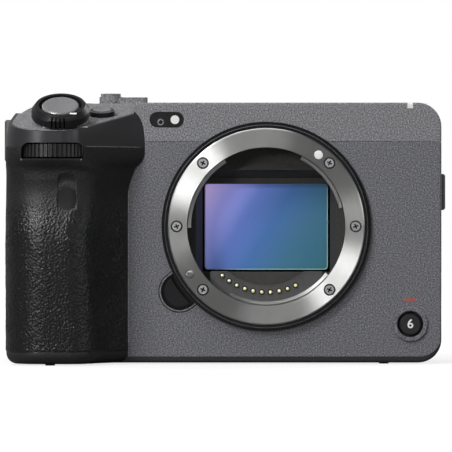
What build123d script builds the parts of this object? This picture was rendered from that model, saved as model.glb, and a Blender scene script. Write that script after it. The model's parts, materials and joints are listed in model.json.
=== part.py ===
"""Cinema camera body without a lens: a boxed housing with a deep right-hand grip.

Sizes are in millimetres. X points right as seen from the front, Y towards the back and Z up.
The origin is the mouth of the tripod socket in the base, straight below the optical axis.
"""

from build123d import *
from math import cos, radians, sin, sqrt, tan
import os

# Housing, seen from the front and from above
BODY_RIGHT = 51.1  # right side of the housing
GRIP_LEFT = -75.3  # left side of the grip
GRIP_JOIN = GRIP_LEFT + 35.0  # where the grip meets the front cover
BODY_TOP = 75.8
SEAM_Z = BODY_TOP - 11.5  # seam below the top cover
FRONT_Y = -24.0  # front face of the housing
SPLIT_Y = -2.0  # seam between front and rear covers
RECESS_Y = 21.0  # face behind the monitor
PANEL_Y = 29.0  # face that carries the rear controls
CONTROL_RIGHT = GRIP_JOIN + 10.8  # right end of that face
WALL = 1.6
EDGE_R = 0.7  # rounding round the front face
SEAM_GROOVE = 0.2  # depth of the groove along a seam
SHOULDER_R = 12.0  # corners of the front outline
TOP_CORNER_R = 7.0
LOW_CORNER_R = 6.8
REAR_CORNER_R = 6.0  # corners seen from above
SIDE_CORNER_R = 3.0
BASE_T = 1.8  # base plate under the body
GRIP_BASE_T = 3.3  # base plate under the grip
BASE_EDGE_R = GRIP_BASE_T - 0.2
BASE_LIP_Z = 5.5  # how far the base plate laps up the right corner
GAP = 0.15  # clearance of a moving piece
FIT = 0.05  # clearance of a fixed piece in its seat

# Lens mount and sensor
AXIS_Z = BODY_TOP - 36.1  # optical axis
FLANGE_RISE = 3.0  # mount face in front of the housing
FLANGE_TO_SENSOR = 18.0
THROAT_R = 23.05
MOUNT_W = 5.55  # width of the mount's face
MOUNT_R = THROAT_R + MOUNT_W
MOUNT_T = 2.0
SKIRT_R = THROAT_R + 2.15  # inside of the mount behind its face
CLAW_R = THROAT_R - 1.15  # inside of the bayonet claws
CLAW_T = 0.9
CLAW_SPANS = ((14, 63), (122, 181), (242, 322))  # degrees round the axis
TRIM_W = 1.9
TRIM_R = MOUNT_R + TRIM_W
TRIM_STEP = 0.6
MOUNT_SCREW_R = THROAT_R + 3.0  # circle of the screws
MOUNT_SCREW_ANGLES = (0, 45, 135, 180, 225, 315)
SCREW_HEAD_R = 1.55
SCREW_HEAD_T = 1.1
SCREW_SHANK_R = 0.8
LOCK_PIN_R = 1.1
LOCK_PIN_ORBIT = THROAT_R + 3.25
LOCK_PIN_ANGLE = 212.0
LOCK_PIN_RISE = 0.6
RELEASE_R = 4.6  # round end of the lens release button
RELEASE_WELL = 0.85  # gap round it
RELEASE_RIM_W = 0.4  # raised rim of its well
RELEASE_RIM_H = 0.25
RELEASE_ORBIT = TRIM_R + 1.1
RELEASE_ANGLE = 216.9
RELEASE_TRAVEL = 1.8
CHAMBER_R = THROAT_R - 0.15
BAFFLE_R = CHAMBER_R + 1.1
BAFFLE_DEPTH = 13.4  # back of the light baffle behind the flange
ARCH_R = CHAMBER_R - 4.3  # flat segment above the sensor
ARCH_T = 1.4
PANEL_BACK = 12.2  # panel between it and the sensor, behind the flange
HOPPER_TOP = 16.5
HOPPER_HALF = 20.6
HOPPER_DEPTH = 9.0
SENSOR_W = 36.2
SENSOR_H = 25.4
SENSOR_T = 2.2
SENSOR_CHAMFER = 1.0
GATE_MARGIN = 0.6  # picture gate round the sensor
CONTACT_IN_R = CHAMBER_R - 5.0
CONTACT_STEP = 0.7  # lower ledge along its inner edge
CONTACT_HALF = 16.3
CONTACT_FACE = 4.7  # contact block behind the flange
PIN_R = 0.5
PIN_ORBIT = CONTACT_IN_R + 1.3
PIN_RISE = 0.45
PIN_COUNT = 10
PIN_FIRST = 228.3
PIN_PITCH = 7.58

# Grip
GRIP_REACH = 22.5  # head of the grip in front of the housing
GRIP_FRONT_Y = FRONT_Y - GRIP_REACH
BULGE_REACH = 22.3
WAIST_REACH = 18.4
FOOT_REACH = 20.6
GRIP_CORNER_R = 12.0
NOSE_R = 8.0
HEAD_NOSE_R = 8.0
FLANK_ANGLE = 60.0
HEAD_FLANK_ANGLE = 48.0
FLANK_SAG = 0.8  # hollow of the flank
FLARE = 4.9  # how far the head spreads over the front cover
HEAD_Z = SEAM_Z - 1.5  # seam between grip skin and head
FLARE_HIGH_Z = HEAD_Z - 2.3
WAIST_Z = HEAD_Z - 9.5
BULGE_Z = WAIST_Z - 17.5
SKIN_T = 1.0
PALM_LEVELS = 9  # sections that the grip is lofted through
FLARE_LEVELS = 5
HEAD_LEVELS = 4
HEAD_LEAN = 6.6  # how far the left shoulder of the head leans in
HEAD_WALL = 1.7
HEAD_RIM = 0.8
SHELF_FRONT_Z = BODY_TOP - 8.8  # lowest edge of the sloping shelf
SHELF_ANGLE = 14.2
SLOPE = tan(radians(SHELF_ANGLE))
SHELF_T = 1.2
SHELF_RIGHT = GRIP_JOIN + 1.8

# Battery, its door and the card bay
BATTERY_W = 22.7
BATTERY_D = 38.7
BATTERY_LEFT = GRIP_LEFT + 2.7
BATTERY_FRONT = FRONT_Y - FOOT_REACH + 8.3
BATTERY_R = 3.0
BATTERY_LIFT = 3.3
CHAMBER_GAP = 0.3
CHAMBER_WALL = 1.3
DECK_T = 4.0  # deck between the battery and the dial
DOOR_T = 2.2
DOOR_GAP = 0.25
DOOR_ANGLE_R = 3.0
DOOR_PIN_R = 0.5
DOOR_PIN_L = 1.2
LATCH_W = 9.0
LATCH_L = 6.0
LATCH_T = 1.2
BOLT_W = 3.0
LATCH_TRAVEL = 1.5
CARD_FRONT = BATTERY_FRONT + BATTERY_D + CHAMBER_GAP + CHAMBER_WALL + 1.0  # front edge of the card door
CARD_BACK = PANEL_Y - 7.5
CARD_LOW = 12.0
CARD_HIGH = SEAM_Z - 10.3
CARD_SLOT_W = 24.4
CARD_SLOT_T = 2.4
CARD_DEPTH = 24.0

# Side covers over the sockets
PORT_FRONT = FRONT_Y + 5.4
PORT_BACK = SPLIT_Y - 3.0
PORT_LOW = 8.5
PORT_HIGH = SEAM_Z - 23.3
PORT_MIDDLE = (PORT_LOW + PORT_HIGH) / 2 - 0.75
PORT_LAND = 3.0  # wall between the two covers
PORT_DEPTH = 7.0
JACK_R = 1.8

# Controls on the grip
LEVER_X = GRIP_LEFT + 15.9
LEVER_BACK = 9.5  # axis of the lever behind the grip's front
LEVER_Y = GRIP_FRONT_Y + LEVER_BACK
LEVER_Z = SHELF_FRONT_Z + SLOPE * LEVER_BACK + 2.25
LEVER_ANGLE = 28.5
SHUTTER_R = 5.35
LEVER_BORE_R = SHUTTER_R + 0.85
LEVER_TOP_R = LEVER_BORE_R + 1.0
LEVER_R = LEVER_TOP_R + 1.25
LEVER_BOSS_R = LEVER_R - 0.55
LEVER_H = 3.6
LEVER_TAB = 0.7  # finger tab in front of the lever
LEVER_TAB_SPAN = (-110, -56)  # degrees
LEVER_RIBS = 4
LEVER_RIB_PITCH = 7.6
SHUTTER_TRAVEL = 0.8
SHUTTER_H = LEVER_H - SHUTTER_TRAVEL - 0.8  # leaves it room to be pressed
SHUTTER_STEM_R = 2.0
RECORD_X = GRIP_LEFT + 27.5
RECORD_Y = GRIP_FRONT_Y + 20.0
RECORD_R = 2.7
COLLAR_R = RECORD_R + 0.95
COLLAR_H = 1.5
DIAL_X = GRIP_LEFT + 13.8
DIAL_R = 10.6
DIAL_T = 3.7
DIAL_Z = HEAD_Z - 3.1
DIAL_PROUD = 0.3
DIAL_TEETH = 50
DIAL_TOOTH = 0.5
SLOT_LEFT = DIAL_X - 9.0
SLOT_RIGHT = DIAL_X + 8.9
SLOT_GAP = 0.4
SLOT_CORNER_R = 2.2
AXLE_R = 1.5
POWER_X = GRIP_JOIN - 5.8
POWER_Y = 4.0
POWER_HUB_R = 3.4
POWER_HUB_H = 2.3
POWER_CAP_R = 2.95
POWER_CAP_H = 0.95
POWER_ARM_L = 10.9
POWER_ARM_W = 5.0
POWER_ARM_H = 2.15
TOP_BUTTON_R = 2.5
TOP_BUTTON_Y = 5.0
TOP_BUTTON_XS = (GRIP_LEFT + 14.0, GRIP_LEFT + 21.2)
BUTTON_TRAVEL = 0.5
BUTTON_PROUD = BUTTON_TRAVEL - 0.1
FLANGE_EXTRA = 0.9  # flange that keeps a button in its hole
FLANGE_T = 0.6

# Controls on the front and back
FRONT_BUTTON_X = BODY_RIGHT - 9.1
FRONT_BUTTON_Z = 11.2
FRONT_BUTTON_R = 3.1
FRONT_WELL_R = FRONT_BUTTON_R + 0.7
FRONT_RIM_R = FRONT_WELL_R + 1.3
FRONT_RIM_H = 0.6
REAR_DIAL_X = GRIP_LEFT + 15.3
REAR_DIAL_Z = BODY_TOP - 8.6
REAR_DIAL_R = 10.4
REAR_DIAL_T = 3.7
REAR_DIAL_PROUD = 0.7
REAR_SLOT_HALF = 7.5
FUNCTION_Z = SEAM_Z - 17.8
WHEEL_X = CONTROL_RIGHT - 16.5
WHEEL_Z = FUNCTION_Z - 17.5
WHEEL_R = 10.5
WHEEL_BUTTON_R = 3.9
WHEEL_BORE_R = WHEEL_BUTTON_R + 1.0
WHEEL_H = 1.5
WHEEL_TEETH = 40
STICK_X = CONTROL_RIGHT - 10.5
STICK_Z = SEAM_Z - 11.3
STICK_R = 3.8
STICK_RISE = 3.2
STICK_NECK_R = 1.6
STICK_HOLE_R = STICK_NECK_R + 1.6
STICK_PIVOT = 3.8  # joystick pivot below the panel
GIMBAL_IN_R = STICK_NECK_R + 0.5
GIMBAL_OUT_R = GIMBAL_IN_R + 1.7
GIMBAL_T = 1.6
GIMBAL_PIN_R = 0.5
POST_T = 1.5
REAR_BUTTON_R = 2.3
MENU_X = CONTROL_RIGHT - 5.5
MENU_Z = SEAM_Z - 4.3
FUNCTION_X = WHEEL_X - 7.5
PLAY_X = CONTROL_RIGHT - 6.5
DELETE_X = WHEEL_X - 10.0
LOW_BUTTON_Z = 12.5
THUMB_RIGHT = GRIP_LEFT + 17.8
THUMB_RISE = 8.9
THUMB_LOW_Z = SEAM_Z - 27.3

# Monitor on its side hinge
MONITOR_T = 8.0
MONITOR_GAP = 0.5
MONITOR_LOW_Z = 7.0
MONITOR_HIGH_Z = SEAM_Z - 2.8
MONITOR_R = 3.0
GLASS_MARGIN = 2.6
GLASS_T = 1.0
HINGE_INSET = 4.6  # hinge axis in from the right side
HINGE_R = 3.6
HINGE_PIN_R = 1.5
EAR_T = 4.6
TILT_ROD_R = 2.2

# Inner frame, shutter, stabiliser and cooling
CHASSIS_T = 2.0
CHASSIS_HALF = 30.0
CHASSIS_SIDE_T = 1.5
SHUTTER_GAP = 0.1  # shutter behind the light baffle
SHUTTER_FRAME_T = 2.5
SHUTTER_SKIN = 0.45
BLADE_W = 45.0
BLADE_STEP = 14.0  # how far the first blade drops past the second
BLADE_H = BLADE_STEP + 1.0
BLADE_T = 0.3
STAGE_T = 1.2
STAGE_GAP = 0.3
STAGE_TRAVEL = 1.2  # each way
CARRIAGE_W = 2 * (CHASSIS_HALF - CHASSIS_SIDE_T - STAGE_TRAVEL - 2.8)
CARRIAGE_H = 38.0
CARRIAGE_T = 2.2
BOARD_T = 1.2
CHIP_T = 1.0
SINK_T = 1.4
FIN_H = 6.0
FIN_T = 0.8
FIN_COUNT = 7
FAN_X = 11.0
FAN_R = 13.5
FAN_H = 5.0
FAN_HUB_R = 5.0
FAN_BLADES = 11
VENT_COUNT = 5
VENT_W = 9.0
VENT_H = 2.0
VENT_PITCH = 4.0

# Accessory shoe, threads, lugs and feet
SHOE_Y0 = -4.0
SHOE_W = 18.7
SHOE_T = 2.1
RAIL_T = 1.4
RAIL_LIP = 3.1
SHOE_PLATE_T = 1.0
SHOE_DEPTH = 4.9
THREAD_R = 2.6
BUSH_R = THREAD_R + 2.0
BUSH_L = 6.5  # the tripod socket's depth
TOP_BUSH_L = 5.4
TOP_THREADS = ((22.0, -14.0), (BODY_RIGHT - 13.5, 8.0), (-22.0, -14.0))
LUG_D = 7.4
LUG_H = 10.6
LUG_PROUD = 1.45
LUG_DEPTH = 3.6
LUG_BAR = 1.6
LUG_Y = SPLIT_Y - 8.0
LUG_RIGHT_Z = SEAM_Z - 14.5
LUG_LEFT_Z = BODY_TOP - 11.0
FOOT_R = 1.4
FOOT_H = 0.4
FOOT_LEFT_X = GRIP_LEFT + 13.0
FOOT_RIGHT_X = BODY_RIGHT - 16.7
FOOT_AHEAD = 3.9  # front foot ahead of the battery
FOOT_INSET = 6.0  # feet in from the front and back
WINDOW_X = SHELF_RIGHT + 9.5
WINDOW_Z = BODY_TOP - 5.0
WINDOW_W = 10.0
WINDOW_H = 4.5
LAMP_X = WINDOW_X + 2.4
LAMP_R = 1.25
TALLY_X = BODY_RIGHT - 9.1
TALLY_W = 1.6
TALLY_H = 1.6
TALLY_DEPTH = 5.0
REMOTE_X = GRIP_LEFT + 18.0
REMOTE_W = 5.0
REMOTE_HIGH_Z = DIAL_Z - 8.7
REMOTE_LOW_Z = REMOTE_HIGH_Z - 6.6

# Places that follow from the sizes above
FLANGE_Y = FRONT_Y - FLANGE_RISE
SENSOR_Y = FLANGE_Y + FLANGE_TO_SENSOR
BATTERY_H = DIAL_Z - SLOT_GAP - DECK_T - CHAMBER_GAP - BATTERY_LIFT
SHUTTER_FRONT_Y = FLANGE_Y + BAFFLE_DEPTH + SHUTTER_GAP
HINGE_X = BODY_RIGHT - HINGE_INSET
HINGE_Y = RECESS_Y + MONITOR_GAP + MONITOR_T / 2
FAR = 300.0


def block(x0, x1, y0, y1, z0, z1):
    """A box between two corners."""
    return Pos((x0 + x1) / 2, (y0 + y1) / 2, (z0 + z1) / 2) * Box(x1 - x0, y1 - y0, z1 - z0)


def disc(radius, low, high):
    """A cylinder on the local Z axis between two heights."""
    return Pos(0, 0, (low + high) / 2) * Cylinder(radius, high - low)


def ring(inner, outer, low, high):
    """A tube on the local Z axis."""
    return disc(outer, low, high) - disc(inner, low - 1, high + 1)


def arc_band(inner, outer, start, end, low, high):
    """A stretch of a tube between two angles in degrees."""
    far = CenterArc((0, 0), outer, start, end - start)
    near = CenterArc((0, 0), inner, start, end - start)
    face = make_face([far, Line(far @ 1, near @ 1), near, Line(near @ 0, far @ 0)])
    return Pos(0, 0, low) * extrude(face, high - low)


def polar(radius, angle):
    """A point on a circle in the lens frame."""
    return radius * cos(radians(angle)), radius * sin(radians(angle))


def facing(x, y, z, way):
    """A frame at a point whose local Z points out of that side of the camera."""
    ways = {
        "front": ((1, 0, 0), (0, -1, 0)),
        "back": ((-1, 0, 0), (0, 1, 0)),
        "up": ((1, 0, 0), (0, 0, 1)),
        "right": ((0, 1, 0), (1, 0, 0)),
        "left": ((0, -1, 0), (-1, 0, 0)),
        "shelf": ((1, 0, 0), (0, -sin(radians(SHELF_ANGLE)), cos(radians(SHELF_ANGLE)))),
        "lever": ((1, 0, 0), (0, -sin(radians(LEVER_ANGLE)), cos(radians(LEVER_ANGLE)))),
    }
    along, out = ways[way]
    return Plane(origin=(x, y, z), x_dir=along, z_dir=out).location


def along_y(sketch, y0, y1):
    """Extrudes a sketch drawn in X and Z between two depths."""
    plane = Plane(origin=(0, y1, 0), x_dir=(1, 0, 0), z_dir=(0, -1, 0))
    return extrude(plane * sketch, y1 - y0)


def round_corner(sketch, point, radius):
    """Rounds the corner of a sketch that lies nearest a point."""
    corner = sketch.vertices().sort_by_distance((*point, 0))[0]
    return fillet(corner, radius)


LENS = facing(0, FLANGE_Y, AXIS_Z, "front")
LEVER = facing(LEVER_X, LEVER_Y, LEVER_Z, "lever")


def shelf_z(y):
    """Height of the sloping shelf at a depth."""
    return SHELF_FRONT_Z + SLOPE * (y - GRIP_FRONT_Y)


RECORD = facing(RECORD_X, RECORD_Y, shelf_z(RECORD_Y), "shelf")


def front_outline(inset):
    """The whole camera seen from the front, in X and Z."""
    left, right = GRIP_LEFT + inset, BODY_RIGHT - inset
    low, high = inset, BODY_TOP - inset
    shape = Pos((left + right) / 2, (low + high) / 2) * Rectangle(right - left, high - low)
    shape = round_corner(shape, (left, high), SHOULDER_R - inset)
    shape = round_corner(shape, (right, high), TOP_CORNER_R - inset)
    shape = round_corner(shape, (right, low), LOW_CORNER_R - inset)
    return round_corner(shape, (left, low), BASE_EDGE_R - inset)


def plan_outline(inset):
    """The housing seen from above, without the front of the grip."""
    left, right = GRIP_LEFT + inset, BODY_RIGHT - inset
    front, recess, panel = FRONT_Y + inset, RECESS_Y - inset, PANEL_Y - inset
    step = CONTROL_RIGHT - inset
    points = [(left, front), (right, front), (right, recess), (step, recess), (step, panel), (left, panel)]
    shape = make_face(Polyline(*points, close=True))
    shape = round_corner(shape, (left, panel), REAR_CORNER_R - inset)
    shape = round_corner(shape, (right, recess), SIDE_CORNER_R - inset)
    return round_corner(shape, (step, panel), SIDE_CORNER_R - inset)


def housing(inset):
    """The boxed part of the camera as one solid."""
    plan = extrude(plan_outline(inset), BODY_TOP)
    return plan & along_y(front_outline(inset), FRONT_Y - 1, PANEL_Y + 1)


def housing_outside():
    """The housing with its front edges rounded, except where the grip covers them."""
    whole = housing(0)
    body = whole & block(GRIP_JOIN, FAR, -FAR, FAR, -FAR, FAR)
    front = body.faces().sort_by(Axis.Y)[0]
    edges = front.edges().filter_by(lambda e: e.center().X > GRIP_JOIN + EDGE_R)
    body = fillet(edges, EDGE_R)
    return body, whole & block(-FAR, GRIP_JOIN, -FAR, FAR, -FAR, FAR)


def base_outline():
    """What the base plate takes of the front outline: a floor with a lip up the right corner."""
    upper = Pos((BODY_RIGHT - FAR) / 2, BASE_T + FAR / 2) * Rectangle(BODY_RIGHT + FAR, FAR)
    upper = round_corner(upper, (BODY_RIGHT, BASE_T), LOW_CORNER_R - 0.4)
    lip = Pos(0, BASE_LIP_Z / 2) * Rectangle(2 * FAR, BASE_LIP_Z)
    floor = Pos(GRIP_JOIN - FAR / 2, GRIP_BASE_T / 2) * Rectangle(FAR, GRIP_BASE_T)
    return (lip - upper) + floor


def shelf_cut(lift):
    """Everything above the sloping shelf, raised by lift, left of the shelf's end."""
    y0, y1 = GRIP_FRONT_Y - 10, FRONT_Y + FAR / 3
    low, high = shelf_z(y0) + lift, shelf_z(y1) + lift
    face = make_face(Polyline((y0, low), (y1, high), (y0, high), close=True))
    plane = Plane(origin=(GRIP_LEFT - 5, 0, 0), x_dir=(0, 1, 0), z_dir=(1, 0, 0))
    return extrude(plane * face, SHELF_RIGHT - GRIP_LEFT + 5)


def blend(low, high, at):
    """A smooth step from 0 at low to 1 at high."""
    t = min(1.0, max(0.0, (at - low) / (high - low)))
    return t * t * (3 - 2 * t)


def lean(low, high, at):
    """How far a quarter of an ellipse has turned in, from 0 at low to 1 at high."""
    share = min(1.0, max(0.0, (at - low) / (high - low)))
    return 1 - sqrt(1 - share**2)


def grip_left_at(z):
    """Left edge of the grip at a height, which the shoulder of the head leans in."""
    return GRIP_LEFT + HEAD_LEAN * lean(HEAD_Z, BODY_TOP, z)


def reach_at(z):
    """How far the grip stands in front of the housing at a height."""
    if z < BULGE_Z:
        return FOOT_REACH + (BULGE_REACH - FOOT_REACH) * blend(GRIP_BASE_T, BULGE_Z, z)
    if z < WAIST_Z:
        return BULGE_REACH + (WAIST_REACH - BULGE_REACH) * blend(BULGE_Z, WAIST_Z, z)
    return WAIST_REACH + (GRIP_REACH - WAIST_REACH) * blend(WAIST_Z, FLARE_HIGH_Z, z)


def join_at(z):
    """Where the flank of the grip meets the front cover at a height."""
    spread = FLARE * blend(WAIST_Z, FLARE_HIGH_Z, z)
    back = FLARE + GRIP_JOIN - SHELF_RIGHT
    return GRIP_JOIN + spread - back * lean(SEAM_Z, shelf_z(FRONT_Y), z)


def grip_section(z, inset):
    """Plan section of the grip in front of the housing, drawn at its height."""
    spread = blend(WAIST_Z, FLARE_HIGH_Z, z)
    angle = radians(FLANK_ANGLE + (HEAD_FLANK_ANGLE - FLANK_ANGLE) * spread)
    nose = NOSE_R + (HEAD_NOSE_R - NOSE_R) * spread - inset
    corner = GRIP_CORNER_R - inset
    left, front = grip_left_at(z) + inset, FRONT_Y - reach_at(z) + inset
    right = join_at(z) - inset / sin(angle)
    run = (FRONT_Y - front - nose * (1 - cos(angle))) / tan(angle)
    nose_x = max(right - run - nose * sin(angle), left + corner + 0.2)
    a, b = (left, FRONT_Y), (left, front + corner)
    c, d = (left + corner, front), (nose_x, front)
    e, f = (nose_x + nose * sin(angle), front + nose * (1 - cos(angle))), (right, FRONT_Y)
    bend = (left + corner * (1 - cos(radians(45))), front + corner * (1 - sin(radians(45))))
    tip = (nose_x + nose * sin(angle / 2), front + nose * (1 - cos(angle / 2)))
    hollow = FLANK_SAG * (1 - spread)
    sag = ((e[0] + f[0]) / 2 - hollow * sin(angle), (e[1] + f[1]) / 2 + hollow * cos(angle))
    flank = ThreePointArc(e, sag, f) if hollow > 0.01 else Line(e, f)
    edges = [Line(a, b), ThreePointArc(b, bend, c), Line(c, d), ThreePointArc(d, tip, e), flank, Line(f, a)]
    return Pos(0, 0, z) * make_face(edges)


def levels(low, high, count):
    """Evenly spaced heights, so that a loft through them stays smooth."""
    return [low + (high - low) * i / count for i in range(count + 1)]


def grip_shape(inset):
    """The lofted front of the grip: its palm up to the waist, and its flare up to the head."""
    palm = loft([grip_section(z, inset) for z in levels(GRIP_BASE_T, WAIST_Z, PALM_LEVELS)])
    return palm + loft([grip_section(z, inset) for z in levels(WAIST_Z, HEAD_Z, FLARE_LEVELS)])


def head_shape(inset):
    """The lofted head of the grip, up to the end of the shelf."""
    return loft([grip_section(z, inset) for z in levels(HEAD_Z, shelf_z(FRONT_Y) + 0.6, HEAD_LEVELS)])


def lug_cut(side_x, way, height):
    """Hole in the housing for a strap lug."""
    body = Box(LUG_D + 2 * FIT, height + 2 * FIT, 2 * (LUG_DEPTH + FIT))
    z = LUG_RIGHT_Z if way == "right" else LUG_LEFT_Z
    return facing(side_x, LUG_Y, z, way) * body


def hole(place, radius, depth=WALL + 2.0):
    """A round hole through a wall from outside."""
    return place * disc(radius, -depth, 5)


def push_button(radius, proud, wall=WALL):
    """A button cap with the flange that keeps it behind its wall, on a local Z that points out."""
    back = -(wall + GAP + FLANGE_T)
    cap = disc(radius, back, proud)
    cap = chamfer(cap.edges().group_by(Axis.Z)[-1], 0.2)
    return cap + disc(radius + FLANGE_EXTRA, back, back + FLANGE_T)


def seam_groove():
    """A fine groove along the seam between the top cover and the covers below it."""
    bar = Rot(45, 0, 0) * Box(2 * FAR, SEAM_GROOVE * sqrt(2), SEAM_GROOVE * sqrt(2))
    side = Rot(0, 0, 90) * bar
    return Pos(0, FRONT_Y, SEAM_Z) * bar + Pos(BODY_RIGHT, 0, SEAM_Z) * side


def pill(length, width):
    """A slot-shaped sketch."""
    return SlotOverall(length, width)


def toothed(radius, tooth, count, low, high):
    """A disc with a toothed rim."""
    points = []
    for i in range(count):
        for share, r in ((0.0, radius), (0.45, radius), (0.6, radius - tooth), (0.85, radius - tooth)):
            points.append(polar(r, 360 / count * (i + share)))
    return Pos(0, 0, low) * extrude(make_face(Polyline(*points, close=True)), high - low)


# Places of the controls
FRONT_BUTTON = facing(FRONT_BUTTON_X, FRONT_Y, FRONT_BUTTON_Z, "front")
POWER = facing(POWER_X, POWER_Y, BODY_TOP, "up")
TOP_BUTTONS = [facing(x, TOP_BUTTON_Y, BODY_TOP, "up") for x in TOP_BUTTON_XS]
WHEEL = facing(WHEEL_X, PANEL_Y, WHEEL_Z, "back")
STICK = facing(STICK_X, PANEL_Y, STICK_Z, "back")
REAR_BUTTONS = {
    "menu_button": facing(MENU_X, PANEL_Y, MENU_Z, "back"),
    "function_button": facing(FUNCTION_X, PANEL_Y, FUNCTION_Z, "back"),
    "play_button": facing(PLAY_X, PANEL_Y, LOW_BUTTON_Z, "back"),
    "delete_button": facing(DELETE_X, PANEL_Y, LOW_BUTTON_Z, "back"),
}
DIAL_Y = GRIP_FRONT_Y - DIAL_PROUD + DIAL_R
REAR_DIAL_Y = PANEL_Y + REAR_DIAL_PROUD - REAR_DIAL_R
CHAMBER = (
    BATTERY_LEFT - CHAMBER_GAP,
    BATTERY_LEFT + BATTERY_W + CHAMBER_GAP,
    BATTERY_FRONT - CHAMBER_GAP,
    BATTERY_FRONT + BATTERY_D + CHAMBER_GAP,
)
HOUSING_BACK_Y = CHAMBER[3] + CHAMBER_WALL
BATTERY_TOP = BATTERY_LIFT + BATTERY_H
DECK_Z = DIAL_Z - SLOT_GAP


def front_cover(outside):
    """Front shell with the round mouth for the lens mount and the socket bay in its side."""
    shape = outside[0] & block(GRIP_JOIN, FAR, FRONT_Y, SPLIT_Y, 0, SEAM_Z)
    shape -= along_y(base_outline(), FRONT_Y - 1, SPLIT_Y + 1)
    shape -= housing(WALL) & block(GRIP_JOIN + WALL, FAR, -FAR, FAR, 0, FAR)
    shape -= seam_groove()
    rim = ring(FRONT_WELL_R, FRONT_RIM_R, -WALL / 2, FRONT_RIM_H)
    rim = chamfer(rim.edges().filter_by(GeomType.CIRCLE).group_by(Axis.Z)[-1], 0.25)
    shape += FRONT_BUTTON * rim
    shape -= hole(FRONT_BUTTON, FRONT_WELL_R)
    shape += LENS * release_rim()
    shape -= LENS * disc(MOUNT_R + FIT, -FLANGE_RISE - WALL - 1, 1)
    shape -= LENS * release_shape(RELEASE_WELL, -FLANGE_RISE - WALL - 1, 1)
    for low, high in port_spans():
        shape -= block(BODY_RIGHT - WALL - 1, FAR, PORT_FRONT, PORT_BACK, low, high)
        shape -= door_pins(BODY_RIGHT - WALL / 2, PORT_FRONT + WALL / 2 + DOOR_GAP, low, high, FIT)
    return shape - lug_cut(BODY_RIGHT, "right", LUG_H)


def port_spans():
    """Bottom and top of each socket cover's opening."""
    return (PORT_LOW, PORT_MIDDLE - PORT_LAND / 2), (PORT_MIDDLE + PORT_LAND / 2, PORT_HIGH)


def door_pins(x, y, low, high, clearance):
    """The hinge pins of a side door, past both ends of its opening."""
    reach = DOOR_PIN_L + clearance
    return Pos(x, y, 0) * disc(DOOR_PIN_R + clearance, low - reach, high + reach)


def side_door(x, y_hinge, y_free, low, high):
    """A flush door whose hinge edge is rounded about its own pins."""
    ahead = 1 if y_free > y_hinge else -1
    axis_y = y_hinge + ahead * (WALL / 2 + DOOR_GAP)
    near, far = sorted((axis_y, y_free - ahead * DOOR_GAP))
    plate = block(x - WALL / 2, x + WALL / 2, near, far, low + DOOR_GAP, high - DOOR_GAP)
    barrel = Pos(x, axis_y, 0) * disc(WALL / 2, low + DOOR_GAP, high - DOOR_GAP)
    return plate + barrel + door_pins(x, axis_y, low, high, 0)


def port_cover(span):
    """A cover over one pair of sockets, with a nail notch at its free end."""
    door = side_door(BODY_RIGHT - WALL / 2, PORT_FRONT, PORT_BACK, *span)
    return door - Pos(BODY_RIGHT, PORT_BACK - DOOR_GAP, sum(span) / 2) * Box(1.2, 2.4, 5.0)


def release_shape(extra, low, high):
    """The lens release, or its well when extra is added: round outside, hollowed by the trim ring."""
    radius = RELEASE_R + extra
    length = RELEASE_ORBIT - THROAT_R
    stem = Pos(RELEASE_ORBIT - length / 2, 0, (low + high) / 2) * Box(length, 2 * radius, high - low)
    shape = Pos(RELEASE_ORBIT, 0, 0) * disc(radius, low, high) + stem
    return Rot(0, 0, RELEASE_ANGLE) * shape - disc(TRIM_R + RELEASE_WELL - extra, low - 1, high + 1)


def release_rim():
    """Raised rim round the release button's well."""
    low, high = -FLANGE_RISE - WALL / 2, -FLANGE_RISE + RELEASE_RIM_H
    return release_shape(RELEASE_WELL + RELEASE_RIM_W, low, high) - disc(TRIM_R + FIT, low - 1, high + 1)


def rear_cover(outside):
    """Rear shell with the control face, the thumb rest, the hinge ears and the fan's outlet."""
    shape = (outside[0] + outside[1]) & block(-FAR, FAR, SPLIT_Y, FAR, 0, SEAM_Z)
    shape -= along_y(base_outline(), SPLIT_Y - 1, PANEL_Y + 1)
    shape -= housing(WALL)
    shape += thumb_rest()
    shape += hinge_ears()
    shape -= block(-FAR, GRIP_LEFT + WALL + 1, CARD_FRONT, CARD_BACK, CARD_LOW, CARD_HIGH)
    shape -= door_pins(GRIP_LEFT + WALL / 2, CARD_BACK - WALL / 2 - DOOR_GAP, CARD_LOW, CARD_HIGH, FIT)
    for place in REAR_BUTTONS.values():
        shape -= hole(place, REAR_BUTTON_R + GAP)
    shape -= hole(STICK, STICK_HOLE_R, WALL + 0.1)
    shape += stick_posts()
    shape -= STICK * Pos(0, 0, -STICK_PIVOT) * gimbal_pins(1, GIMBAL_OUT_R + FAR / 20, GIMBAL_PIN_R + FIT)
    shape -= hole(WHEEL, WHEEL_BUTTON_R + GAP)
    shape += WHEEL * (ring(WHEEL_BUTTON_R + GAP, WHEEL_BORE_R - GAP / 2, -WALL, WHEEL_H / 2))
    middle = AXIS_Z - VENT_PITCH * (VENT_COUNT - 1) / 2
    for i in range(VENT_COUNT):
        vent = Pos(0, middle + i * VENT_PITCH - AXIS_Z) * pill(VENT_W, VENT_H)
        shape -= facing(BODY_RIGHT, FAN_MID_Y, AXIS_Z, "right") * (Pos(0, 0, -3) * extrude(vent, 6))
    return shape


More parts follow.
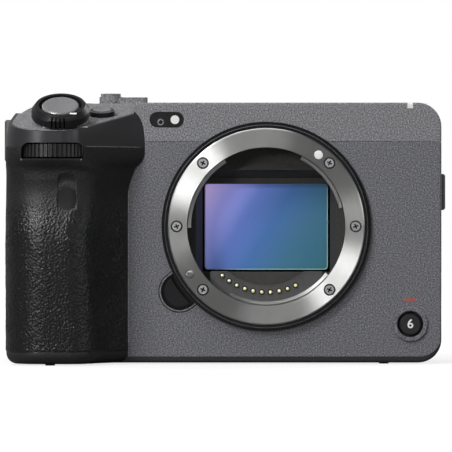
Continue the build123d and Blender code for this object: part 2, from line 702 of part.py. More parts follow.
def thumb_rest():
    """The hooked rest for the thumb at the back of the grip."""
    top_y, left = PANEL_Y + THUMB_RISE, GRIP_LEFT + 0.8
    start, tip = (left, PANEL_Y - REAR_CORNER_R), (left + 1.4, top_y)
    crest, foot = (THUMB_RIGHT - 7.5, top_y), (THUMB_RIGHT, PANEL_Y - WALL / 2)
    hollow = ((crest[0] + foot[0]) / 2 - 1.0, (crest[1] + foot[1]) / 2 - 1.6)
    edges = [Polyline(foot, (foot[0], start[1]), start, tip, crest), ThreePointArc(crest, hollow, foot)]
    face = make_face(edges)
    face = round_corner(face, tip, 3.4)
    face = round_corner(face, crest, 1.6)
    rest = Pos(0, 0, THUMB_LOW_Z) * extrude(face, SEAM_Z - THUMB_LOW_Z)
    low, rise = THUMB_LOW_Z, 1.4 * THUMB_RISE
    points = [(PANEL_Y, low), (top_y + 2, low + rise), (top_y + 2, low - 1), (PANEL_Y, low - 1)]
    plane = Plane(origin=(GRIP_LEFT, 0, 0), x_dir=(0, 1, 0), z_dir=(1, 0, 0))
    return rest - extrude(plane * make_face(Polyline(*points, close=True)), FAR) - housing(WALL)


def stick_posts():
    """Two posts behind the panel that hold the joystick's upright axle."""
    reach = GIMBAL_OUT_R + GAP + POST_T / 2
    posts = []
    for side in (-1, 1):
        post = Pos(0, side * reach, -STICK_PIVOT / 2 - 1.1) * Box(2.6, POST_T, STICK_PIVOT)
        posts.append(STICK * post)
    return posts[0] + posts[1]


def gimbal_pins(inner, outer, radius):
    """A pair of pins along the local Y axis."""
    turned = Rot(-90, 0, 0)
    return turned * disc(radius, inner, outer) + turned * disc(radius, -outer, -inner)


def hinge_ears():
    """The two ears that hold the monitor's hinge."""
    ears = []
    for low in (MONITOR_LOW_Z, MONITOR_HIGH_Z - EAR_T):
        ear = block(HINGE_X - HINGE_R, HINGE_X + HINGE_R, RECESS_Y - WALL, HINGE_Y, low, low + EAR_T)
        ear += Pos(HINGE_X, HINGE_Y, 0) * disc(HINGE_R, low, low + EAR_T)
        ears.append(ear - Pos(HINGE_X, HINGE_Y, 0) * disc(HINGE_PIN_R + FIT, low - 1, low + EAR_T + 1))
    return ears[0] + ears[1]


def shoe_pocket(gap):
    """The sunk bay for the accessory shoe, open to the back."""
    half = SHOE_W / 2 + RAIL_T + gap
    return block(-half, half, SHOE_Y0 - gap, FAR, BODY_TOP - SHOE_DEPTH - gap, FAR)


def top_cover(outside):
    """Top shell with the sloping shelf over the grip and the sunk bay for the shoe."""
    shape = (outside[0] + outside[1]) & block(-FAR, FAR, -FAR, FAR, SEAM_Z, FAR)
    shape -= shelf_cut(0)
    shape -= seam_groove()
    inside = housing(WALL) - shelf_cut(-WALL / cos(radians(SHELF_ANGLE)))
    half = SHOE_W / 2 + RAIL_T + WALL
    shape -= inside - block(-half, half, SHOE_Y0 - WALL, FAR, BODY_TOP - SHOE_DEPTH - WALL, FAR)
    shape -= shoe_pocket(FIT)
    shape += (head_shape(HEAD_RIM + FIT) - shelf_cut(0)) & shelf_cut(-SHELF_T)
    boss = LEVER * disc(LEVER_BOSS_R, -8, 0)
    shape += boss & shelf_cut(-SHELF_T)
    shape += LEVER * ring(SHUTTER_R + GAP, LEVER_BORE_R - GAP, -1, 1.2)
    shape -= LEVER * disc(SHUTTER_STEM_R + GAP, -12, 2)
    shape += RECORD * disc(COLLAR_R, -SHELF_T, COLLAR_H)
    shape -= RECORD * disc(RECORD_R + GAP, -4, COLLAR_H + 1)
    shape -= hole(POWER, AXLE_R + GAP)
    for place in TOP_BUTTONS:
        shape -= hole(place, TOP_BUTTON_R + GAP)
    for x, y in TOP_THREADS:
        shape += Pos(x, y, 0) * disc(BUSH_R + 1.2, BODY_TOP - TOP_BUSH_L, BODY_TOP - WALL / 2)
        shape -= Pos(x, y, 0) * disc(BUSH_R + FIT, BODY_TOP - TOP_BUSH_L - 1, FAR)
    window = Pos(WINDOW_X, WINDOW_Z) * pill(WINDOW_W + 2 * FIT, WINDOW_H + 2 * FIT)
    shape -= along_y(window, FRONT_Y - 1, FRONT_Y + WALL + 0.1)
    shape -= tally_block(FIT)
    shape -= LENS * disc(MOUNT_R + FIT, -FLANGE_RISE - WALL - 1, 1)
    shape -= rear_dial_slot()
    shape += Pos(REAR_DIAL_X, REAR_DIAL_Y, 0) * disc(AXLE_R, REAR_DIAL_Z, BODY_TOP - WALL / 2)
    return shape - lug_cut(GRIP_LEFT, "left", LUG_H + 1.7)


def rear_dial_slot():
    """Window at the back of the top cover that the rear dial stands out of."""
    low, high = REAR_DIAL_Z - SLOT_GAP, REAR_DIAL_Z + REAR_DIAL_T + SLOT_GAP
    left, right = REAR_DIAL_X - REAR_SLOT_HALF, REAR_DIAL_X + REAR_SLOT_HALF
    return block(left, right, PANEL_Y - WALL - 2, FAR, low, high)


def tally_block(gap):
    """The lamp window let into the top front edge."""
    half = TALLY_W / 2 + gap
    low, back = BODY_TOP - TALLY_H - gap, FRONT_Y + TALLY_DEPTH + gap
    return block(TALLY_X - half, TALLY_X + half, FRONT_Y - 1, back, low, FAR)


def base_plate(outside):
    """Bottom cover: a thin floor under the body and a deeper one round the battery door."""
    shape = (outside[0] + outside[1]) & along_y(base_outline(), FRONT_Y, PANEL_Y)
    foot = extrude(Pos(0, 0, -GRIP_BASE_T) * grip_section(GRIP_BASE_T, 0), GRIP_BASE_T, dir=(0, 0, 1))
    edges = foot.faces().sort_by(Axis.Z)[0].edges().filter_by(lambda e: e.center().Y < FRONT_Y - 0.1)
    shape += fillet(edges, BASE_EDGE_R)
    x0, x1, y0, y1 = door_bay()
    bay = block(x0, x1, y0, y1, -1, GRIP_BASE_T + 1)
    shape -= fillet(bay.edges().filter_by(Axis.Z).group_by(Axis.Y)[0], DOOR_ANGLE_R)
    shape -= battery_door_pins(FIT)
    shape -= bolt_way(y0 - LATCH_TRAVEL, y0 + 1)
    shape -= disc(BUSH_R + FIT, -1, BASE_T + 1)
    for x, y in feet_places():
        shape -= Pos(x, y, 0) * disc(FOOT_R + FIT, -1, BASE_T / 2)
    return shape


def door_bay():
    """Left, right, front and back of the battery door's opening."""
    return CHAMBER[0] + DOOR_GAP, CHAMBER[1], CHAMBER[2], CHAMBER[3] + DOOR_T + DOOR_GAP


BOLT_LOW = (DOOR_T - LATCH_T) / 2
DOOR_AXIS_Y = CHAMBER[3] + DOOR_T / 2
DOOR_MIDDLE = (door_bay()[0] + door_bay()[1]) / 2


def door_axle(radius, x0, x1):
    """A rod on the battery door's hinge axis."""
    plane = Plane(origin=(0, DOOR_AXIS_Y, DOOR_T / 2), x_dir=(0, 1, 0), z_dir=(1, 0, 0))
    return plane.location * disc(radius, x0, x1)


def battery_door_pins(clearance):
    """Hinge pins of the battery door, past both ends of its opening."""
    x0, x1, y0, y1 = door_bay()
    reach = DOOR_PIN_L + clearance
    return door_axle(DOOR_PIN_R + clearance, x0 - reach, x1 + reach)


def bolt_way(y0, y1):
    """The channel that the latch's bolt slides in."""
    half = BOLT_W / 2 + GAP
    return block(DOOR_MIDDLE - half, DOOR_MIDDLE + half, y0, y1, BOLT_LOW - GAP, BOLT_LOW + LATCH_T + GAP)


def battery_door():
    """Door under the battery, rounded about its rear hinge, with a bay for the latch."""
    x0, x1, y0, y1 = (a + b for a, b in zip(door_bay(), (DOOR_GAP, -DOOR_GAP, DOOR_GAP, -DOOR_GAP)))
    plate = block(x0, x1, y0, DOOR_AXIS_Y, 0, DOOR_T)
    plate = fillet(plate.edges().filter_by(Axis.Z).group_by(Axis.Y)[0], DOOR_ANGLE_R)
    door = plate + door_axle(DOOR_T / 2, x0, x1) + battery_door_pins(0)
    half, front = LATCH_W / 2 + GAP, y0 + 1.5
    bay_back = front + LATCH_TRAVEL + LATCH_L + GAP
    door -= block(DOOR_MIDDLE - half, DOOR_MIDDLE + half, front, bay_back, -1, BOLT_LOW + LATCH_T + GAP)
    return door - bolt_way(y0 - 1, front + 1)


def battery_latch():
    """Slide that bolts the battery door; it is drawn back, so the bolt lies inside the door."""
    door_front = door_bay()[2] + DOOR_GAP
    front = door_front + 1.5 + LATCH_TRAVEL
    low, high = BOLT_LOW - 0.4, BOLT_LOW + LATCH_T
    half, grip = LATCH_W / 2, LATCH_W / 3
    slide = block(DOOR_MIDDLE - half, DOOR_MIDDLE + half, front, front + LATCH_L, low, high)
    for i in range(4):
        y = front + LATCH_L / 2 + (i - 1.5) * 1.2
        slide -= block(DOOR_MIDDLE - grip, DOOR_MIDDLE + grip, y - 0.25, y + 0.25, 0, BOLT_LOW)
    half = BOLT_W / 2
    return slide + block(DOOR_MIDDLE - half, DOOR_MIDDLE + half, door_front + 0.1, front + 1, BOLT_LOW, high)


def battery():
    """Rechargeable pack standing in the grip."""
    x0, y0 = BATTERY_LEFT, BATTERY_FRONT
    pack = block(x0, x0 + BATTERY_W, y0, y0 + BATTERY_D, BATTERY_LIFT, BATTERY_TOP)
    pack = fillet(pack.edges().filter_by(Axis.Z), BATTERY_R)
    for i in range(4):
        x = x0 + BATTERY_W / 2 + (i - 1.5) * 4.0
        pack -= block(x - 0.6, x + 0.6, y0 + 2, y0 + 8, BATTERY_TOP - 1, BATTERY_TOP + 1)
    return pack


def grip_housing():
    """Moulded core of the grip: the battery chamber below and the dial's deck above."""
    inset = SKIN_T + FIT
    core = grip_shape(inset)
    core += block(GRIP_LEFT + inset, GRIP_JOIN - FIT, FRONT_Y, SPLIT_Y - FIT, GRIP_BASE_T, HEAD_Z)
    core -= block(-FAR, FAR, FRONT_Y, FAR, DECK_Z, FAR)
    core += block(GRIP_LEFT + WALL + FIT, GRIP_JOIN - FIT, SPLIT_Y - 1, HOUSING_BACK_Y, GRIP_BASE_T, DECK_Z)
    chamber = block(*CHAMBER, 0, BATTERY_TOP + CHAMBER_GAP)
    core -= fillet(chamber.edges().filter_by(Axis.Z), BATTERY_R)
    core -= dial_slot()
    core += Pos(DIAL_X, DIAL_Y, 0) * disc(AXLE_R, DECK_Z - 1, DIAL_Z + DIAL_T + SLOT_GAP)
    return core - lug_cut(GRIP_LEFT, "left", LUG_H + 1.7)


def dial_slot():
    """Arched window in front of the dial, with the round space that the dial turns in."""
    low, high = DIAL_Z - SLOT_GAP, DIAL_Z + DIAL_T + SLOT_GAP
    middle = Pos((SLOT_LEFT + SLOT_RIGHT) / 2, (low + high) / 2)
    window = middle * Rectangle(SLOT_RIGHT - SLOT_LEFT, high - low)
    for x in (SLOT_LEFT, SLOT_RIGHT):
        window = round_corner(window, (x, high), SLOT_CORNER_R)
    room = Pos(DIAL_X, DIAL_Y, 0) * disc(DIAL_R + SLOT_GAP, low, high)
    return along_y(window, GRIP_FRONT_Y - 5, DIAL_Y) + room


def grip_skin():
    """The soft outer skin of the grip, before the sensor window is cut out."""
    skin = grip_shape(0) - grip_shape(SKIN_T)
    skin += block(GRIP_LEFT, GRIP_LEFT + SKIN_T, FRONT_Y - 0.01, SPLIT_Y, GRIP_BASE_T, HEAD_Z)
    skin -= dial_slot()
    return skin - lug_cut(GRIP_LEFT, "left", LUG_H + 1.7)


def remote_prism(gap):
    """The rounded patch of the remote sensor's window, as a prism through the skin."""
    height = REMOTE_HIGH_Z - REMOTE_LOW_Z
    upright = Rot(0, 0, 90) * pill(height + 2 * gap, REMOTE_W + 2 * gap)
    patch = Pos(REMOTE_X, (REMOTE_LOW_Z + REMOTE_HIGH_Z) / 2) * upright
    return along_y(patch, GRIP_FRONT_Y - 5, GRIP_FRONT_Y + 8)


def grip_head():
    """Smooth head of the grip: it spreads over the front cover and frames the shelf."""
    head = head_shape(0) - shelf_cut(0) - head_shape(HEAD_WALL)
    head -= head_shape(HEAD_RIM) & shelf_cut(-SHELF_T)
    return head - dial_slot()


def lens_mount():
    """Bayonet ring: a flat face, a skirt that stands on the inner frame and three claws."""
    depth = FLANGE_RISE + WALL
    mount = ring(THROAT_R, MOUNT_R, -MOUNT_T, 0) + ring(SKIRT_R, MOUNT_R, -depth, -MOUNT_T)
    rim = mount.edges().filter_by(GeomType.CIRCLE).group_by(Axis.Z)[-1].sort_by(SortBy.RADIUS)[-1]
    mount = chamfer(rim, 0.3)
    for start, end in CLAW_SPANS:
        mount += arc_band(CLAW_R, CLAW_R + CLAW_T, start, end, -depth, -MOUNT_T - 0.2)
        mount += arc_band(CLAW_R, SKIRT_R + 0.5, start, end, -depth, -depth + 0.8)
    for angle in MOUNT_SCREW_ANGLES:
        at = Pos(*polar(MOUNT_SCREW_R, angle), 0)
        mount -= at * disc(SCREW_HEAD_R + FIT, -SCREW_HEAD_T, 1)
        mount -= at * disc(SCREW_SHANK_R + FIT, -depth - 1, 0)
    mount -= Pos(*polar(LOCK_PIN_ORBIT, LOCK_PIN_ANGLE), 0) * disc(LOCK_PIN_R + GAP, -depth - 1, 1)
    return LENS * mount


def mount_screws():
    """Six cross-head screws that hold the mount to the inner frame."""
    depth = FLANGE_RISE + WALL + CHASSIS_T
    head = disc(SCREW_HEAD_R, -SCREW_HEAD_T, -0.05)
    screw = chamfer(head.edges().group_by(Axis.Z)[-1], 0.3) + disc(SCREW_SHANK_R, -depth, -SCREW_HEAD_T)
    for turn in (0, 90):
        screw -= Rot(0, 0, turn) * Box(1.6, 0.42, 1.4)
    return [LENS * Pos(*polar(MOUNT_SCREW_R, a), 0) * Rot(0, 0, a + 20) * screw for a in MOUNT_SCREW_ANGLES]


def trim_ring():
    """Black stepped ring between the mount and the front cover."""
    inner, step = MOUNT_R + FIT, TRIM_R - TRIM_STEP
    points = [
        (inner, -FLANGE_RISE),
        (TRIM_R, -FLANGE_RISE),
        (TRIM_R, -FLANGE_RISE + 0.8),
        (step + 0.15, -FLANGE_RISE + 0.8),
        (step, -FLANGE_RISE + 0.95),
        (step, -TRIM_STEP - 0.6),
        (step - TRIM_STEP, -TRIM_STEP),
        (inner, -TRIM_STEP),
    ]
    profile = Plane.XZ * make_face(Polyline(*points, close=True))
    return LENS * revolve(profile, Axis.Z)


def lens_lock_pin():
    """Sprung pin that locks the lens in the mount."""
    pin = disc(LOCK_PIN_R, -FLANGE_RISE - WALL - CHASSIS_T - 2, LOCK_PIN_RISE)
    pin = chamfer(pin.edges().group_by(Axis.Z)[-1], 0.4)
    return LENS * Pos(*polar(LOCK_PIN_ORBIT, LOCK_PIN_ANGLE), 0) * pin


def lens_release_button():
    """Push button beside the mount, round outside and hollowed by the trim ring inside."""
    cap = release_shape(0, -FLANGE_RISE - WALL - 1, -FLANGE_RISE + RELEASE_TRAVEL / 2)
    cap = chamfer(cap.faces().sort_by(Axis.Z)[-1].edges(), 0.3)
    back = -FLANGE_RISE - WALL - GAP
    flange = release_shape(RELEASE_WELL + 0.8, back - FLANGE_T, back)
    return LENS * (cap + flange - disc(MOUNT_R + 0.6, back - FLANGE_T - 1, back + 1))


def light_baffle():
    """Black chamber behind the mount, narrowing to the picture gate."""
    tube = ring(CHAMBER_R, BAFFLE_R, -BAFFLE_DEPTH, -FLANGE_RISE - WALL - FIT)
    floor = disc(CHAMBER_R + 0.5, -BAFFLE_DEPTH, -HOPPER_DEPTH)
    low, gate_w = -SENSOR_H / 2 - GATE_MARGIN, SENSOR_W + 2 * GATE_MARGIN
    mouth = Rectangle(2 * HOPPER_HALF, HOPPER_TOP - low)
    mouth = Pos(0, (HOPPER_TOP + low) / 2, -HOPPER_DEPTH + 0.01) * mouth
    gate = Pos(0, 0, -BAFFLE_DEPTH - 0.01) * Rectangle(gate_w, -2 * low)
    floor -= loft([gate, mouth])
    arch = disc(ARCH_R, -HOPPER_DEPTH - 0.1, -HOPPER_DEPTH + ARCH_T)
    arch -= Pos(0, HOPPER_TOP - FAR / 2, 0) * Box(FAR, FAR, FAR)
    panel_low, panel_high = SENSOR_H / 2 - 0.2, HOPPER_TOP + 0.5
    panel = Box(2 * HOPPER_HALF, panel_high - panel_low, BAFFLE_DEPTH - PANEL_BACK)
    panel = Pos(0, (panel_low + panel_high) / 2, -(PANEL_BACK + BAFFLE_DEPTH) / 2) * panel
    floor += panel & disc(CHAMBER_R + 0.5, -BAFFLE_DEPTH, 0)
    return LENS * (tube + arch + floor)


def contact_block():
    """Block that carries the lens contacts: curved inside, with square ends and a lower inner ledge."""
    back, inner = -HOPPER_DEPTH + FIT, CONTACT_IN_R - CONTACT_STEP
    body = ring(CONTACT_IN_R, CHAMBER_R - FIT, back, -CONTACT_FACE)
    body += ring(inner, CONTACT_IN_R + 0.1, back, -CONTACT_FACE - 1)
    high = -SENSOR_H / 2 - GATE_MARGIN + 0.2
    body &= Pos(0, high - FAR / 2, 0) * Box(2 * CONTACT_HALF, FAR, FAR)
    for x, y in contact_places():
        body -= Pos(x, y, 0) * disc(PIN_R + FIT, -CONTACT_FACE - 1.5, 0)
    return LENS * body


def contact_places():
    """The contacts' places in the lens frame."""
    return [polar(PIN_ORBIT, PIN_FIRST + PIN_PITCH * i) for i in range(PIN_COUNT)]


def contact_pins():
    """Gilt contact pins in the block."""
    pin = disc(PIN_R, -CONTACT_FACE - 1.5, -CONTACT_FACE + PIN_RISE)
    return [LENS * Pos(x, y, 0) * pin for x, y in contact_places()]


def chassis_frame():
    """Cast inner frame: front plate for the mount, two side plates and the tripod floor."""
    y0 = FRONT_Y + WALL
    low, high = BASE_T + FIT, SEAM_Z - 2
    left, right = GRIP_JOIN + WALL + 0.4, BODY_RIGHT - WALL - 0.4
    frame = block(left, right, y0 + FIT, y0 + CHASSIS_T, LOW_CORNER_R, high)
    for side in (-1, 1):
        inner, outer = sorted((side * CHASSIS_HALF, side * (CHASSIS_HALF - CHASSIS_SIDE_T)))
        frame += block(inner, outer, y0 + FIT, SINK_Y + SINK_T + 1.75, low, high)
    frame += block(-CHASSIS_HALF, CHASSIS_HALF, y0 + FIT, BUSH_R + 3, low, low + CHASSIS_T)
    frame += block(-MOUNT_R, MOUNT_R, y0 + FIT, y0 + CHASSIS_T, high - 1, AXIS_Z + MOUNT_R)
    frame -= LENS * disc(BAFFLE_R + FIT, -BAFFLE_DEPTH - 2, 0)
    room = release_shape(RELEASE_WELL + 1.4, -FLANGE_RISE - WALL - CHASSIS_T - 1, 0)
    frame -= LENS * (room - disc(MOUNT_R + 0.2, -FAR, FAR))
    frame -= FRONT_BUTTON * disc(FRONT_BUTTON_R + FLANGE_EXTRA + 0.5, -WALL - CHASSIS_T - 1, 0)
    for angle in MOUNT_SCREW_ANGLES:
        frame -= LENS * Pos(*polar(MOUNT_SCREW_R, angle), 0) * disc(SCREW_SHANK_R + FIT, -10, 0)
    frame -= LENS * Pos(*polar(LOCK_PIN_ORBIT, LOCK_PIN_ANGLE), 0) * disc(LOCK_PIN_R + GAP, -12, 0)
    return frame - disc(BUSH_R + FIT, 0, 20)


def shutter_frame():
    """Flat case of the focal-plane shutter with its picture gate."""
    y0, y1 = SHUTTER_FRONT_Y, SHUTTER_FRONT_Y + SHUTTER_FRAME_T
    half = CHASSIS_HALF - CHASSIS_SIDE_T - FIT
    low = AXIS_Z - SENSOR_H / 2 - GATE_MARGIN - 4
    high = AXIS_Z + SENSOR_H / 2 + GATE_MARGIN + BLADE_H + 2
    frame = block(-half, half, y0, y1, low, high)
    gate_w, gate_h = SENSOR_W / 2 + GATE_MARGIN, SENSOR_H / 2 + GATE_MARGIN
    frame -= block(-gate_w, gate_w, y0 - 1, y1 + 1, AXIS_Z - gate_h, AXIS_Z + gate_h)
    cavity = BLADE_W / 2 + 0.4
    return frame - block(-cavity, cavity, y0 + SHUTTER_SKIN, y1 - SHUTTER_SKIN, low + 2, high - 1)


def shutter_blade(rank):
    """One blade, parked above the gate; rank 0 lies in front."""
    room = SHUTTER_FRAME_T - 2 * SHUTTER_SKIN
    y = SHUTTER_FRONT_Y + SHUTTER_SKIN + room * (1 + 2 * rank) / 4
    low = AXIS_Z + SENSOR_H / 2 + GATE_MARGIN + 0.4
    blade = block(-BLADE_W / 2, BLADE_W / 2, y - BLADE_T / 2, y + BLADE_T / 2, low, low + BLADE_H)
    return blade


CARRIAGE_Y = SENSOR_Y + 0.4
SLIDE_Y = CARRIAGE_Y + CARRIAGE_T + STAGE_GAP
STABILISER_Y = SLIDE_Y + STAGE_T + STAGE_GAP
BOARD_Y = STABILISER_Y + 2.0 + 0.6
SINK_Y = BOARD_Y + BOARD_T + CHIP_T + FIT
FAN_Y = SINK_Y + SINK_T + 0.5
FAN_MID_Y = FAN_Y + FAN_H / 2


def image_sensor():
    """Sensor package with its cover glass."""
    half_w, half_h = SENSOR_W / 2, SENSOR_H / 2
    body = block(-half_w, half_w, CARRIAGE_Y - SENSOR_T, CARRIAGE_Y, AXIS_Z - half_h, AXIS_Z + half_h)
    return chamfer(body.edges().filter_by(Axis.Y), SENSOR_CHAMFER)


def stage_plate(width, height, y, thickness, window):
    """A plate across the optical axis with a rectangular window."""
    half_w, half_h, tall = width / 2, height / 2, window / 3
    plate = block(-half_w, half_w, y, y + thickness, AXIS_Z - half_h, AXIS_Z + half_h)
    plate = fillet(plate.edges().filter_by(Axis.Y), 2)
    return plate - block(-window / 2, window / 2, y - 1, y + thickness + 1, AXIS_Z - tall, AXIS_Z + tall)


def sensor_carriage():
    """Floating plate under the sensor, with the drive coils on its edges."""
    plate = stage_plate(CARRIAGE_W, CARRIAGE_H, CARRIAGE_Y, CARRIAGE_T, 10)
    for x, z in ((-21, 0), (21, 0), (0, -16)):
        coil = Box(4.8, 0.9, 4.8) - Box(2.4, 2, 2.4)
        plate += Pos(x, CARRIAGE_Y - 0.35, AXIS_Z + z) * coil
    return plate


def stabiliser_slide():
    """Guide plate between the carriage and the fixed base."""
    return stage_plate(CARRIAGE_W, CARRIAGE_H - 4, SLIDE_Y, STAGE_T, 24)


def stabiliser_base():
    """Fixed magnet plate of the stabiliser, screwed between the side plates."""
    width = 2 * (CHASSIS_HALF - CHASSIS_SIDE_T - FIT)
    plate = stage_plate(width, CARRIAGE_H + 4, STABILISER_Y, 2.0, 20)
    return plate


def main_board():
    """Circuit board with its processor and memory."""
    half = CHASSIS_HALF - CHASSIS_SIDE_T - FIT
    board = block(-half, half, BOARD_Y, BOARD_Y + BOARD_T, 8, SEAM_Z - 3)
    chip_y = BOARD_Y + BOARD_T
    for x, z, size in ((0, 2.3, 14), (-17, 4.3, 9), (-16, -15.7, 8), (16, -15.7, 8)):
        chip = Pos(x, chip_y + (CHIP_T - 0.1) / 2, AXIS_Z + z) * Box(size, CHIP_T + 0.1, size)
        board += chip
    return board


def heat_sink():
    """Finned cooling plate with the fan's round bay and the duct to the side outlet."""
    half = CHASSIS_HALF - CHASSIS_SIDE_T - FIT
    low, high = 10, SEAM_Z - 5
    sink = block(-half, half, SINK_Y, SINK_Y + SINK_T, low, high)
    back = FAN_Y + FAN_H + 0.5
    bay = Plane(origin=(FAN_X, 0, AXIS_Z), x_dir=(1, 0, 0), z_dir=(0, 1, 0)).location
    wall = bay * ring(FAN_R + 0.6, FAN_R + 1.8, SINK_Y, back)
    wall -= block(FAN_X, FAR, -FAR, FAR, AXIS_Z - FAN_R * 0.7, AXIS_Z + FAN_R * 0.7)
    sink += wall
    y0, y1 = SINK_Y + SINK_T - 0.1, SINK_Y + SINK_T + FIN_H
    for i in range(FIN_COUNT):
        x = -half + 1.5 + i * (FAN_X - FAN_R - 4 + half) / FIN_COUNT
        sink += block(x - FIN_T / 2, x + FIN_T / 2, y0, y1, low + 4, high - 4)
    return sink + bay * disc(AXLE_R - 0.5, SINK_Y, FAN_Y + FAN_H - 1)


def fan_rotor():
    """Radial cooling fan."""
    rotor = disc(FAN_HUB_R, 0, FAN_H) - disc(AXLE_R - 0.5 + FIT, -1, FAN_H - 0.9)
    middle = Pos((FAN_HUB_R + FAN_R) / 2 - 0.3, 0, FAN_H / 2)
    blade = middle * Rot(0, 0, 18) * Box(FAN_R - FAN_HUB_R, 0.8, FAN_H - 1)
    for i in range(FAN_BLADES):
        rotor += Rot(0, 0, 360 / FAN_BLADES * i) * blade
    return Plane(origin=(FAN_X, FAN_Y, AXIS_Z), x_dir=(1, 0, 0), z_dir=(0, 1, 0)).location * rotor


def card_reader():
    """Twin card slots behind the card door."""
    x0 = GRIP_LEFT + WALL + 0.6
    middle, half_t, half_w = (CARD_LOW + CARD_HIGH) / 2, CARD_SLOT_T / 2, CARD_SLOT_W / 2
    y0, y1 = HOUSING_BACK_Y + FIT, CARD_BACK - 3
    reader = block(x0, x0 + CARD_DEPTH, y0, y1, CARD_LOW + 5, CARD_HIGH - 5)
    for y in (y0 + (y1 - y0) * 0.3, y0 + (y1 - y0) * 0.72):
        reader -= block(x0 - 1, x0 + CARD_DEPTH - 3, y - half_t, y + half_t, middle - half_w, middle + half_w)
    return reader


def port_sockets():
    """Socket block behind the side covers: two round jacks above, two flat sockets below."""
    x1 = BODY_RIGHT - WALL - 0.4
    y0, y1 = FRONT_Y + WALL + CHASSIS_T + FIT, PORT_BACK - 0.8
    sockets = block(x1 - PORT_DEPTH, x1, y0, y1, PORT_LOW + 1, PORT_HIGH - 1)
    y = (PORT_FRONT + PORT_BACK) / 2
    side = facing(x1, y, 0, "right")
    for z in (PORT_MIDDLE + 4.8, PORT_HIGH - 4.8):
        sockets -= side * Pos(0, z, 0) * disc(JACK_R, -PORT_DEPTH + 1, 1)
    for z, width, height in ((PORT_LOW + 4.2, 8.4, 2.6), (PORT_MIDDLE - 4.4, 3.2, 10.5 / 3)):
        sockets -= side * Pos(0, z, -PORT_DEPTH / 2 + 1) * Box(width, height, PORT_DEPTH)
    return sockets


def accessory_shoe():
    """Steel shoe with two rails, sunk in the top cover and open to the back."""
    half = SHOE_W / 2 + RAIL_T
    z0 = BODY_TOP - SHOE_DEPTH
    z1 = z0 + SHOE_PLATE_T
    z2 = z1 + SHOE_T + RAIL_T
    shoe = block(-half, half, SHOE_Y0, RECESS_Y - 1, z0, z2)
    shoe -= block(-SHOE_W / 2, SHOE_W / 2, SHOE_Y0 + RAIL_T, FAR, z1, z1 + SHOE_T)
    return shoe - block(-SHOE_W / 2 + RAIL_LIP, SHOE_W / 2 - RAIL_LIP, SHOE_Y0 + RAIL_T, FAR, z1, FAR)


def thread_bushes():
    """Threaded steel bushes: the tripod socket and three on the top."""
    top = ring(THREAD_R, BUSH_R, BODY_TOP - TOP_BUSH_L, BODY_TOP)
    bushes = [Pos(x, y, 0) * top for x, y in TOP_THREADS]
    return [ring(THREAD_R, BUSH_R, 0, BUSH_L), *bushes]


def strap_lug(side_x, z, way, height):
    """A lug with an upright bar that a strap goes round, let into the side."""
    lug = Pos(0, 0, (LUG_PROUD - LUG_DEPTH) / 2) * Box(LUG_D, height, LUG_PROUD + LUG_DEPTH)
    lug = chamfer(lug.edges().group_by(Axis.Z)[-1], 0.5)
    room_h = height - 3.4
    lug -= Pos(0, 0, (LUG_PROUD - LUG_DEPTH) / 2 + 1) * Box(LUG_D - 2.2, room_h, LUG_PROUD + LUG_DEPTH)
    lug += Pos(0, 0, LUG_PROUD - LUG_BAR / 2) * Box(LUG_BAR, room_h + 0.4, LUG_BAR * 0.8)
    return facing(side_x, LUG_Y, z, way) * lug


def strap_lugs():
    """The two strap lugs, one on each side."""
    right = strap_lug(BODY_RIGHT, LUG_RIGHT_Z, "right", LUG_H)
    return [right, strap_lug(GRIP_LEFT, LUG_LEFT_Z, "left", LUG_H + 1.7)]


def feet_places():
    """Where the four rubber feet stand."""
    left = [(FOOT_LEFT_X, y) for y in (BATTERY_FRONT - FOOT_AHEAD, PANEL_Y - FOOT_INSET)]
    right = [(FOOT_RIGHT_X, y) for y in (FRONT_Y + FOOT_INSET, RECESS_Y - FOOT_INSET)]
    return left + right


def base_feet():
    """Small rubber feet let into the base."""
    return [Pos(x, y, 0) * disc(FOOT_R, -FOOT_H, BASE_T / 2) for x, y in feet_places()]


def lamp_window():
    """Smoked window beside the mount with a hole for the lamp."""
    pane = Pos(WINDOW_X, WINDOW_Z) * pill(WINDOW_W, WINDOW_H) - Pos(LAMP_X, WINDOW_Z) * Circle(LAMP_R + FIT)
    return along_y(pane, FRONT_Y, FRONT_Y + WALL)


def front_lamps(outside):
    """The round lamp in the smoked window and the record lamp at the top edge."""
    lamp = along_y(Pos(LAMP_X, WINDOW_Z) * Circle(LAMP_R), FRONT_Y - 0.1, FRONT_Y + WALL)
    return [lamp, outside[0] & tally_block(0)]


def zoom_lever():
    """Sprung ring round the shutter button, with a finger tab whose left part is ribbed."""
    points = [
        (LEVER_BORE_R, GAP),
        (LEVER_R, GAP),
        (LEVER_R - 0.1, LEVER_H * 0.55),
        (LEVER_TOP_R, LEVER_H),
        (LEVER_BORE_R, LEVER_H),
    ]
    lever = revolve(Plane.XZ * make_face(Polyline(*points, close=True)), Axis.Z)
    start, end = LEVER_TAB_SPAN
    tab = arc_band(LEVER_TOP_R, LEVER_R + LEVER_TAB, start, end, GAP, LEVER_H - 0.2)
    lever += chamfer(tab.edges().group_by(Axis.Z)[-1].sort_by(Axis.Y)[0], 0.6)
    for i in range(LEVER_RIBS):
        angle = start + LEVER_RIB_PITCH * (i + 0.8)
        lever -= Rot(0, 0, angle) * Pos(LEVER_R + LEVER_TAB, 0, LEVER_H / 2) * Box(2.2, 0.5, 2 * LEVER_H)
    return LEVER * lever


def shutter_button():
    """Dished shutter button on its stem."""
    top = LEVER_H - 0.1
    button = disc(SHUTTER_R, top - SHUTTER_H, top)
    button = chamfer(button.edges().group_by(Axis.Z)[-1], 0.3)
    button -= Pos(0, 0, top + 23.6) * Sphere(24)
    return LEVER * (button + disc(SHUTTER_STEM_R, -5.5, top - SHUTTER_H + 0.1))


